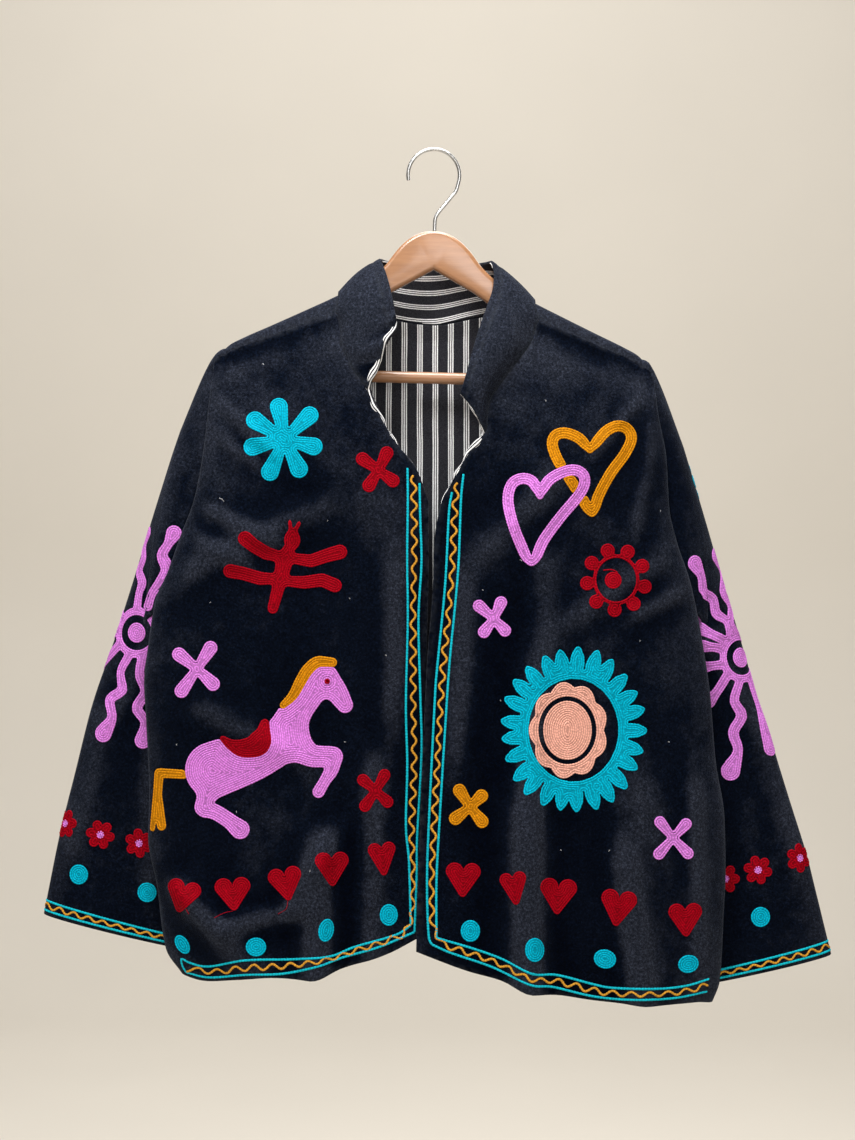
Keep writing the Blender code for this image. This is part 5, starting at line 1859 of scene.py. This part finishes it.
def sleeve_motifs(work, view, side, panel):
    centre, rays = SLEEVE_SUNS[side]
    round_sun = PolarView(panel, *centre, SUN_REACH)
    embroider(work, round_sun, "pink", [oval(0, 0, 10.4, 10.4)])
    parts = [ring(0, 0, 22.0, 22.0, 4.0)] + [stroke(curved(ray)) for ray in rays]
    embroider(work, round_sun, "pink", parts, cut=[oval(0, 0, 18.2, 18.2)])
    if side == "right":
        embroider(work, FrontView(panel, panel.cells), "pink", [stroke(curved(SEEN_RAY))])
    for behind, places in enumerate(SLEEVE_FLOWERS[side]):
        for k, place in enumerate(places):
            near = PolarView(panel, *place, 18, bool(behind))
            middle = [oval(0, 0, 3.4, 3.4)]
            turns = [(t + 0.2 * k) * math.pi / 3 for t in range(6)]
            tips = [(FLOWER_TIP * math.cos(t), FLOWER_TIP * math.sin(t)) for t in turns]
            embroider(work, near, "red", flower(0, 0, tips, FLOWER_HALF), cut=middle)
            embroider(work, near, "pink", [oval(0, 0, 4.6, 4.6)], row=1.8)
    for behind, places in enumerate(SLEEVE_DOTS[side]):
        for place in places:
            near = PolarView(panel, *place, 18, bool(behind))
            embroider(work, near, "turquoise", [oval(0, 0, 10, 10.4)])
    if side == "left":
        near = PolarView(panel, *SLEEVE_STAR, 35, True)
        turns = [k * 2 * math.pi / 7 for k in range(7)]
        tips = [(STAR_TIP * math.cos(t), STAR_TIP * math.sin(t)) for t in turns]
        embroider(work, near, "turquoise", flower(0, 0, tips, 6.4))
    cuff = [view.down[-1] - far for far in CUFF_LINES]
    level_trim(work, view, view.arcs[-1, 0] + 1, view.arcs[-1, -1] - 1, cuff, 120,
               swing=2.5, wavelength=16.0, width=2.6)


class HemView:
    """Lays lines along the back's hem: mm along it from the right side, mm up from it."""

    def __init__(self, back):
        shape = (back.columns, back.rows, 3)
        main = back.columns * back.rows
        self.grid = back.face()[:main].reshape(shape)
        self.ways = back.normals[:main].reshape(shape)
        self.rows = back.rows
        self.run = path_length(self.grid[:, -1])

    def at(self, a, b):
        k = np.interp(a, self.run, np.arange(len(self.run)))
        i = min(int(k), len(self.run) - 2)
        up = path_length(self.grid[i][::-1])
        j = self.rows - 1 - np.interp(b, up, np.arange(len(up)))
        row = min(int(j), self.rows - 2)
        s = k - i
        t = j - row
        spot, way = (in_cell(grid, (i, i + 1), (row, row + 1), s, t)
                     for grid in (self.grid, self.ways))
        return spot, way / np.linalg.norm(way)


def fold_sleeve(sleeve, side):
    """Soft creases down a sleeve, faded out at the armhole and the cuff."""
    count = sleeve.loop
    rings = len(sleeve.points) // count
    station = np.repeat(np.linspace(0, 1, rings), count)
    free = ramp(0.03, 0.16, station) * (1 - ramp(0.86, 0.99, station))
    x, z = sleeve.points[:, 0], sleeve.points[:, 2]
    for half, table in ((-1, SLEEVE_FOLDS[side]), (1, SLEEVE_BACK_FOLDS[side])):
        facing = np.clip(half * sleeve.normals[:, 1] * 1.6, 0, 1)
        lift = fold_lift(folds_of(table), x, z) * facing * free
        sleeve.points = sleeve.points + sleeve.normals * lift[:, None]
    sleeve.normals = normals_of(sleeve.points, sleeve.cells)


def sewn_panels():
    """The panels with shared normals at their seams, drawn back a little from each other."""
    fronts = {side: front_panel(side) for side in ("right", "left")}
    back = back_panel()
    sleeves = {side: sleeve_panel(side, fronts[side], back) for side in ("right", "left")}
    over = back.rows - fronts["right"].rows
    for side in ("right", "left"):
        fold_sleeve(sleeves[side], side)
        front = fronts[side]
        sleeve = sleeves[side]
        column = 0 if side == "right" else back.columns - 1
        rows = range(ARMHOLE_ROWS + 1, front.rows)
        side_front = [(front.columns - 1) * front.rows + j for j in rows]
        side_back = [column * back.rows + j + over for j in rows]
        share_normals([(front, side_front), (back, side_back)])
        seam = back.strips[side][-1]
        order = range(front.columns) if side == "left" else range(front.columns - 1, -1, -1)
        top_front = [c * front.rows for c in order]
        share_normals([(front, top_front[:-1] if side == "left" else top_front[1:]),
                       (back, seam[:-1] if side == "left" else seam[1:])])
        share_normals([(front, sleeve.front_matches[1:-1]), (sleeve, sleeve.front_spots[1:-1])])
        share_normals([(back, sleeve.back_matches), (sleeve, sleeve.back_spots)])
    pairs = []
    step = back.rows
    for j in range(back.rows):
        pairs.append((j, j + step))
        pairs.append(((back.columns - 1) * step + j, (back.columns - 2) * step + j))
    inset_panel(back, pairs)
    pinch = {"back": {edge: SEAM_PINCH for edge, _ in pairs}}
    for side in ("right", "left"):
        strip = back.strips[side]
        inset_panel(back, [(strip[-1][k], strip[-2][k]) for k in range(len(strip[-1]))])
        pinch["back"].update({index: SEAM_PINCH for index in strip[-1]})
        for line in strip[1:]:
            ends = ((line[0], line[1]), (line[-1], line[-2]))
            inset_panel(back, [ends[0] if side == "right" else ends[1]])
        front = fronts[side]
        last = (front.columns - 1) * front.rows
        inset_panel(front, [(last + j, last - front.rows + j) for j in range(front.rows)])
        inset_panel(front, [(c * front.rows, c * front.rows + 1) for c in range(front.columns)])
        pinch["front_" + side] = {last + j: SEAM_PINCH for j in range(front.rows)}
        pinch["front_" + side].update({c * front.rows: SEAM_PINCH for c in range(front.columns)})
        sleeve = sleeves[side]
        inset_panel(sleeve, [(k, k + sleeve.loop) for k in range(sleeve.loop)], 2 * SEAM_INSET)
        pinch["sleeve_" + side] = {k: SEAM_PINCH for k in range(sleeve.loop)}
    return fronts, back, sleeves, pinch


def hung_cloth(piece, node_name):
    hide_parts(node_name)
    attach(piece, "root")


# Middle of the hanger: a round crown over a straight-sided notch
CROWN = {
    "half": (0, 6, 12, 20, 28, 35, 42, 50),
    "top": (-82.2, -82.6, -83.9, -87.4, -92.9, -99.6, -108.2, -118.4),
}
NOTCH_TOP = -121.5
NOTCH_SLOPE = 0.56
NOTCH_REACH = 45.0


def hanger_dome(a):
    arm = float(smooth(HANGER_ARM["half"], HANGER_ARM["top"], a))
    share = float(ramp(34, 50, a))
    return arm * share + float(smooth(CROWN["half"], CROWN["top"], min(a, 50))) * (1 - share)


def hanger_notch(a):
    under = float(smooth(HANGER_UNDERSIDE["half"], HANGER_UNDERSIDE["under"], a))
    share = float(ramp(NOTCH_REACH - 15, NOTCH_REACH + 15, a))
    return under * share + (NOTCH_TOP - NOTCH_SLOPE * a) * (1 - share)


def hanger_body(wood):
    """One board with rounded edges, from its half outline."""
    tip = HANGER_ARM["half"][-1]
    halves = np.linspace(0, tip, 90)
    top = [(a, hanger_dome(a)) for a in halves]
    heel = [(tip, TIP_LOW), (tip - 2, HEEL_DEEP + 2.5), (tip - 5, HEEL_DEEP),
            (HEEL_HALF + 4, HEEL_DEEP), (HEEL_HALF + 1, HEEL_DEEP + 1.5),
            (HEEL_HALF, HEEL_DEEP + 4), (HEEL_HALF, -226.0)]
    halves = np.linspace(186, 0, 70)
    under = [(a, hanger_notch(a)) for a in halves]
    half = top + heel + under
    outline = half + [(-x, z) for x, z in reversed(half[1:-1])]
    mesh = bmesh.new()
    near = []
    for x, z in outline:
        turned = tilted(x, z)
        near.append(mesh.verts.new((turned[0] * MM, -HANGER_THICK / 2 * MM, turned[1] * MM)))
    face = mesh.faces.new(near)
    made = bmesh.ops.extrude_face_region(mesh, geom=[face])
    far = [item for item in made["geom"] if isinstance(item, bmesh.types.BMVert)]
    bmesh.ops.translate(mesh, verts=far, vec=(0, HANGER_THICK * MM, 0))
    bmesh.ops.recalc_face_normals(mesh, faces=mesh.faces)
    rim = [e for e in mesh.edges if abs(e.verts[0].co.y - e.verts[1].co.y) < 1e-6]
    bmesh.ops.bevel(mesh, geom=rim, offset=HANGER_EDGE_ROUND * MM, segments=5, profile=0.5,
                    affect="EDGES", clamp_overlap=True)
    bmesh.ops.triangulate(mesh, faces=[f for f in mesh.faces if len(f.verts) > 4])
    return plain_piece("hanger_wood_body", mesh, wood)


def hanger_bar(wood):
    """The dowel, turned from upright to lie along the hanger's tilt."""
    mesh = bmesh.new()
    reach = HEEL_HALF - 0.4
    bmesh.ops.create_cone(mesh, cap_ends=True, segments=40, radius1=BAR_DIAMETER / 2 * MM,
                          radius2=BAR_DIAMETER / 2 * MM, depth=2 * reach * MM)
    for vert in mesh.verts:
        along = vert.co.z
        side = vert.co.x
        vert.co.x = along
        vert.co.z = BAR_HEIGHT * MM - along * math.tan(HANGER_TILT) - side
    return plain_piece("hanger_wood_bar", mesh, wood)


def hanger_hook(chrome):
    """Bent wire from its open end, over the top and down into the crown."""
    centre = -(HOOK_RADIUS - HOOK_WIRE / 2)
    path = []
    for degrees in np.linspace(192, -14, 22):
        angle = math.radians(degrees)
        path.append((HOOK_RADIUS * math.cos(angle), centre + HOOK_RADIUS * math.sin(angle)))
    path += HOOK_NECK
    path.append((0.8, HANGER_ARM["top"][0] + 0.35))
    curve = bpy.data.curves.new("hanger_wire_hook", "CURVE")
    curve.dimensions = "3D"
    curve.bevel_depth = HOOK_WIRE / 2 * MM
    curve.bevel_resolution = 8
    curve.use_fill_caps = True
    spots = curve_points(path, 5)
    line = curve.splines.new("POLY")
    line.points.add(len(spots) - 1)
    for spot, (x, z) in zip(line.points, spots):
        spot.co = (x * MM, 0, z * MM, 1)
    hook = add_object("hanger_wire_hook", curve)
    curve.materials.append(chrome)
    return hook


def fine_hanger(wood, chrome):
    for piece, node_name, slot_name in ((hanger_body(wood), "hanger_body", "hanger_wood"),
                                        (hanger_bar(wood), "hanger_bar", "hanger_wood"),
                                        (hanger_hook(chrome), "hanger_hook", "hook_chrome")):
        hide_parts(node_name)
        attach(piece, "root")


def tilted(x, z):
    """Lowers a point of the hanger's plane by the hanger's tilt."""
    return x, z - x * math.tan(HANGER_TILT)


def plain_piece(name, mesh, material_used):
    data = bpy.data.meshes.new(name)
    mesh.to_mesh(data)
    mesh.free()
    data.shade_smooth()
    data.set_sharp_from_angle(angle=math.radians(50))
    data.materials.append(material_used)
    return add_object(name, data)


def dress():
    velvet = velvet_material()
    lining = lining_material()
    wood = wood_material()
    chrome = chrome_material()
    threads = {name: thread_material(name, THREADS[name]) for name in THREADS}
    fronts, back, sleeves, pinch = sewn_panels()
    coats = [velvet, lining]
    for side in ("right", "left"):
        for kind, panel, flat, area in (("front_", fronts[side], (0.30, 0.70), 0.175),
                                        ("sleeve_", sleeves[side], (0.34, 0.60), 0.135)):
            name = kind + side
            uv = panel.points[:, (0, 2)] * MM
            piece = cloth_mesh(name + "_cloth", panel, panel.cells, VELVET_WALL, coats, uv,
                               pinch[name])
            hung_cloth(piece, name)
    uv = back.points[:, (0, 2)] * MM
    piece = cloth_mesh("back_cloth", back, back.cells, VELVET_WALL, coats, uv, pinch["back"])
    hung_cloth(piece, "back")
    make_collar(fronts, back, velvet, lining)
    make_lining(back, lining)
    for side, motifs in (("right", right_front_motifs), ("left", left_front_motifs)):
        work = Stitching("embroidery_front_" + side)
        view = FrontView(fronts[side], fronts[side].cells)
        motifs(work, view)
        embroidery_piece(work, threads)
        work = Stitching("embroidery_sleeve_" + side)
        sleeve_motifs(work, SleeveView(sleeves[side]), side, sleeves[side])
        embroidery_piece(work, threads)
    work = Stitching("embroidery_back_hem")
    view = HemView(back)
    level_trim(work, view, HEM_END, view.run[-1] - HEM_END, HEM_LINES, 300)
    embroidery_piece(work, threads)
    fine_hanger(wood, chrome)


def embroidery_piece(work, threads):
    piece = work.build(threads)
    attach(piece, "root")


# Crumple of the collar's slumped end, and the soft crease down its other end
CRUMPLE_REACH = 20.0
CRUMPLE_HIGH = 3.2
CRUMPLE_PULL = 4.5
CRUMPLE_STOP = 12
CREASE = folds_of(((68, -142, 80, -205, 5, 2.2, 14), (60, -170, 47, -225, 6, 1.6, 14)))
# Rolled lining along the open edges: radius against the share of the length
ROLLED_EDGES = {
    "right": {"along": (0, 0.1, 0.2, 0.3, 0.42, 0.5, 0.7, 1.0),
              "radius": (1.6, 3.4, 2.2, 3.8, 2.4, 3.2, 1.9, 1.1)},
    "left": {"along": (0, 0.15, 0.34, 0.46, 0.6, 1.0), "radius": (1.3, 1.7, 1.6, 3.6, 2.6, 1.1)},
}
ROLLED_END_Z = {"right": -338.0, "left": -368.0}
ROLLED_SIDES = 10
ROLLED_STEP = 1.6
ROLLED_SWING = 1.5
ROLLED_START = -0.4
ROLLED_ROUND = 2.6


def crumpled_collar(collar):
    """Small folds pressed into the collar's slumped end."""
    rows = COLLAR_ROWS + 1
    grid = collar.points.reshape(-1, rows, 3).copy()
    ways = collar.normals.reshape(-1, rows, 3)
    if grid[0, 0, 0] > 0:
        raise ValueError("the collar starts at the wearer's right")
    far = path_length(grid[:, COLLAR_ROWS // 2])
    share = np.linspace(0, 1, rows)
    for k in range(len(grid)):
        near = math.exp(-((far[k] / CRUMPLE_REACH) ** 2))
        rim = math.exp(-((far[k] / (0.5 * CRUMPLE_REACH)) ** 2))
        free = np.minimum(1, share * 6)
        waves = np.sin(2 * math.pi * (1.7 * share) + far[k] * 0.22 + 0.6)
        press = CRUMPLE_HIGH * near * waves * free
        slump = 0.7 * np.sin(far[k] / 8.5 + 2.2 * share) * np.sin(math.pi * share)
        crease = fold_lift(CREASE, grid[k, :, 0], grid[k, :, 2]) * (grid[k, :, 1] < 0) * free
        grid[k] += ways[k] * (press + slump + crease)[:, None]
        after = grid[min(k + 2, len(grid) - 1)] - grid[k]
        size = np.maximum(np.linalg.norm(after, axis=1), 1e-6)[:, None]
        pull = CRUMPLE_PULL * rim * (0.5 - 0.5 * np.cos(2 * math.pi * 2.3 * share)) * free
        if k < len(grid) - CRUMPLE_STOP:
            grid[k] += after / size * pull[:, None] * 0.6
    return Panel(grid.reshape(-1, 3), collar.cells)


def rolled_edges(fronts, collar, lining):
    """The lining's rolled edge down the collar's ends and the neckline."""
    rows = COLLAR_ROWS + 1
    grid = collar.points.reshape(-1, rows, 3)
    ways = collar.normals.reshape(-1, rows, 3)
    for side, at in (("right", 0), ("left", -1)):
        front = fronts[side]
        heights = front.points[: front.rows, 2]
        top = COLLAR_END_Z[side] - 4
        keep = [j for j in range(front.rows) if top > heights[j] > ROLLED_END_Z[side]]
        spots = list(grid[at, ::-1]) + [front.points[j] for j in keep]
        turns = list(ways[at, ::-1]) + [front.normals[j] for j in keep]
        spots = np.array(spots) - np.array(turns) * 0.9
        length = path_length(spots)
        stops = np.arange(0, length[-1], ROLLED_STEP)
        line = points_at(spots, length, stops)
        table = ROLLED_EDGES[side]
        radii = smooth(table["along"], table["radius"], stops / length[-1])
        radii = radii * (1 + 0.12 * np.sin(stops / 2.9) + 0.1 * np.sin(stops / 5.3 + 1))
        wander = np.stack([0.7 * np.sin(stops / 4.1), 0.5 * np.sin(stops / 6.0 + 2), 0 * stops], -1)
        line = line + wander
        name = "lining_edge_" + side
        mesh = bmesh.new()
        rings = []
        for k in range(len(line)):
            way = line[min(k + 1, len(line) - 1)] - line[max(k - 1, 0)]
            way = way / np.linalg.norm(way)
            across = np.cross(way, (0, -1, 0))
            across = across / np.linalg.norm(across)
            up = np.cross(across, way)
            rings.append([mesh.verts.new(tuple((
                line[k] + radii[k] * (across * math.cos(t) + 0.75 * up * math.sin(t))) * MM))
                for t in np.linspace(0, 2 * math.pi, ROLLED_SIDES, endpoint=False)])
        layer = mesh.loops.layers.uv.new("UVMap")
        for k in range(len(rings) - 1):
            for s in range(ROLLED_SIDES):
                after = (s + 1) % ROLLED_SIDES
                face = mesh.faces.new((rings[k][s], rings[k][after],
                                       rings[k + 1][after], rings[k + 1][s]))
                corners = ((k, s), (k, s + 1), (k + 1, s + 1), (k + 1, s))
                for loop, (a, b) in zip(face.loops, corners):
                    round_it = 2 * math.pi * b / ROLLED_SIDES * ROLLED_ROUND
                    swing = ROLLED_START + ROLLED_SWING * math.sin(stops[a] / 11.0)
                    loop[layer].uv = ((swing + round_it) * MM, stops[a] * MM)
        mesh.faces.new(list(reversed(rings[0])))
        mesh.faces.new(rings[-1])
        bmesh.ops.recalc_face_normals(mesh, faces=mesh.faces)
        piece = plain_piece(name, mesh, lining)
        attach(piece, "root")


# The collar lining's bands lie closer together than the body's
COLLAR_STRIPES = 1.03
# The collar's row of stitches is pressed to this share of the wall
STITCHED_PINCH = 0.55


def make_collar(fronts, back, velvet, lining):
    collar = crumpled_collar(collar_panel(fronts, back))
    rows = COLLAR_ROWS + 1
    lines = len(collar.points) // rows
    across = np.tile(np.linspace(0, 0.062, rows) * COLLAR_STRIPES, lines)
    along = np.repeat(np.arange(lines) * 0.003, rows)
    across = across + 0.0016 * np.sin(along * 75) + 0.0009 * np.sin(along * 160 + 1)
    uv = np.stack([across, along], -1)
    stitched = {k * rows + COLLAR_ROWS - 2: STITCHED_PINCH for k in range(lines)}
    piece = cloth_mesh("collar_cloth", collar, collar.cells, VELVET_WALL, [velvet, lining], uv,
                       stitched)
    hung_cloth(piece, "collar")
    shift = VELVET_WALL / 2 + LINING_GAP + LINING_WALL / 2
    inner = Panel(collar.points - collar.normals * shift, collar.cells)
    piece = cloth_mesh("collar_lining_cloth", inner, inner.cells, LINING_WALL, [lining, lining], uv,
                       round_rim=0.4)
    hung_cloth(piece, "collar_lining")
    rolled_edges(fronts, collar, lining)


def make_lining(back, lining):
    first = PANEL_COLUMNS - LINING_PAST_NECK
    last = back.columns - 1 - first
    cells = []
    for i in range(first, last):
        within = PANEL_COLUMNS + 1 < i < back.columns - 3 - PANEL_COLUMNS
        for j in range(0 if within else LINING_TOP_ROW, back.rows - 6):
            a = i * back.rows + j
            cells.append((a, a + 1, a + 1 + back.rows, a + back.rows))
    if normals_of(back.points, cells)[cells[0][0]][1] < 0:
        cells = flipped(cells)
    shift = VELVET_WALL / 2 + LINING_GAP + LINING_WALL / 2
    inner = Panel(back.points - back.normals * shift, cells)
    inner.normals = back.normals
    uv = back.points[:, (0, 2)] * MM + np.array((0.0012, 0))
    piece = cloth_mesh("back_lining_cloth", inner, cells, LINING_WALL, [lining, lining], uv,
                       round_rim=0.4)
    hung_cloth(piece, "lining_back")


def area_light(name, place, target, size, power):
    data = bpy.data.lights.new(name, "AREA")
    data.shape = "SQUARE"
    data.size = size
    data.energy = power
    light = add_object(name, data)
    light.location = place
    light.rotation_mode = "QUATERNION"
    light.rotation_quaternion = (Vector(target) - Vector(place)).to_track_quat("-Z", "Y")


# Camera and studio, in metres
CAMERA_PLACE = (-0.0064, -1.84, -0.4282)
CAMERA_LENS = 56.84
FLOOR_Z = -1.9
WALL_Y = 5.6
COVE = 1.6
STAGE_HALF = 9.0
STAGE_TOP = 4.6
STAGE_COLOUR = (0.74, 0.69, 0.61)
WORLD_COLOUR = (1.0, 0.98, 0.95, 1.0)
WORLD_STRENGTH = 0.27
# Lights: name, place, what they face, size and power
AIM = (0.0, 0.0, -0.45)
LIGHTS = (
    ("key", (-0.8, -1.7, 1.9), AIM, 1.1, 92),
    ("fill", (0.9, -2.7, -0.2), AIM, 1.6, 16),
    ("front", (0.25, -2.5, 0.46), AIM, 0.7, 6),
    ("top", (0.2, -0.4, 1.6), AIM, 1.0, 40),
    ("back", (0.3, 1.9, 1.2), AIM, 1.8, 26),
    ("wall", (0.0, 1.6, 4.0), (0.0, WALL_Y, -0.8), 3.2, 176),
)


def studio():
    data = bpy.data.cameras.new("camera")
    data.sensor_width = 36.0
    data.lens = CAMERA_LENS
    camera = add_object("camera", data)
    camera.location = CAMERA_PLACE
    camera.rotation_euler = (math.pi / 2, 0, 0)
    bpy.context.scene.camera = camera
    half = [(0.0, FLOOR_Z)]
    for degrees in np.linspace(0, 90, 25):
        turn = math.radians(degrees)
        half.append((WALL_Y - COVE + COVE * math.sin(turn), FLOOR_Z + COVE - COVE * math.cos(turn)))
    half.append((WALL_Y, STAGE_TOP))
    profile = [(-y, z) for y, z in reversed(half)] + half[1:]
    verts = [(x, y, z) for y, z in profile for x in (-STAGE_HALF, STAGE_HALF)]
    faces = [(2 * k, 2 * k + 1, 2 * k + 3, 2 * k + 2) for k in range(len(profile) - 1)]
    mesh = bpy.data.meshes.new("backdrop")
    mesh.from_pydata(verts, [], faces)
    mesh.shade_smooth()
    made, tree, shader = material("backdrop")
    darker = tuple(0.97 * c for c in STAGE_COLOUR)
    colour = ramp_node(tree, noise(tree, 1.2, 2.0), ((0.3, STAGE_COLOUR), (0.7, darker)))
    tree.links.new(colour, shader.inputs["Base Color"])
    shader.inputs["Roughness"].default_value = 0.95
    shader.inputs["Specular IOR Level"].default_value = 0.1
    mesh.materials.append(made)
    floor = add_object("backdrop", mesh)
    for light in LIGHTS:
        area_light(*light)
    world = bpy.data.worlds.new("studio")
    world.use_nodes = True
    shade = world.node_tree.nodes["Background"]
    shade.inputs["Color"].default_value = WORLD_COLOUR
    shade.inputs["Strength"].default_value = WORLD_STRENGTH
    bpy.context.scene.world = world
    bpy.context.scene.view_settings.view_transform = "Standard"


studio()
dress()
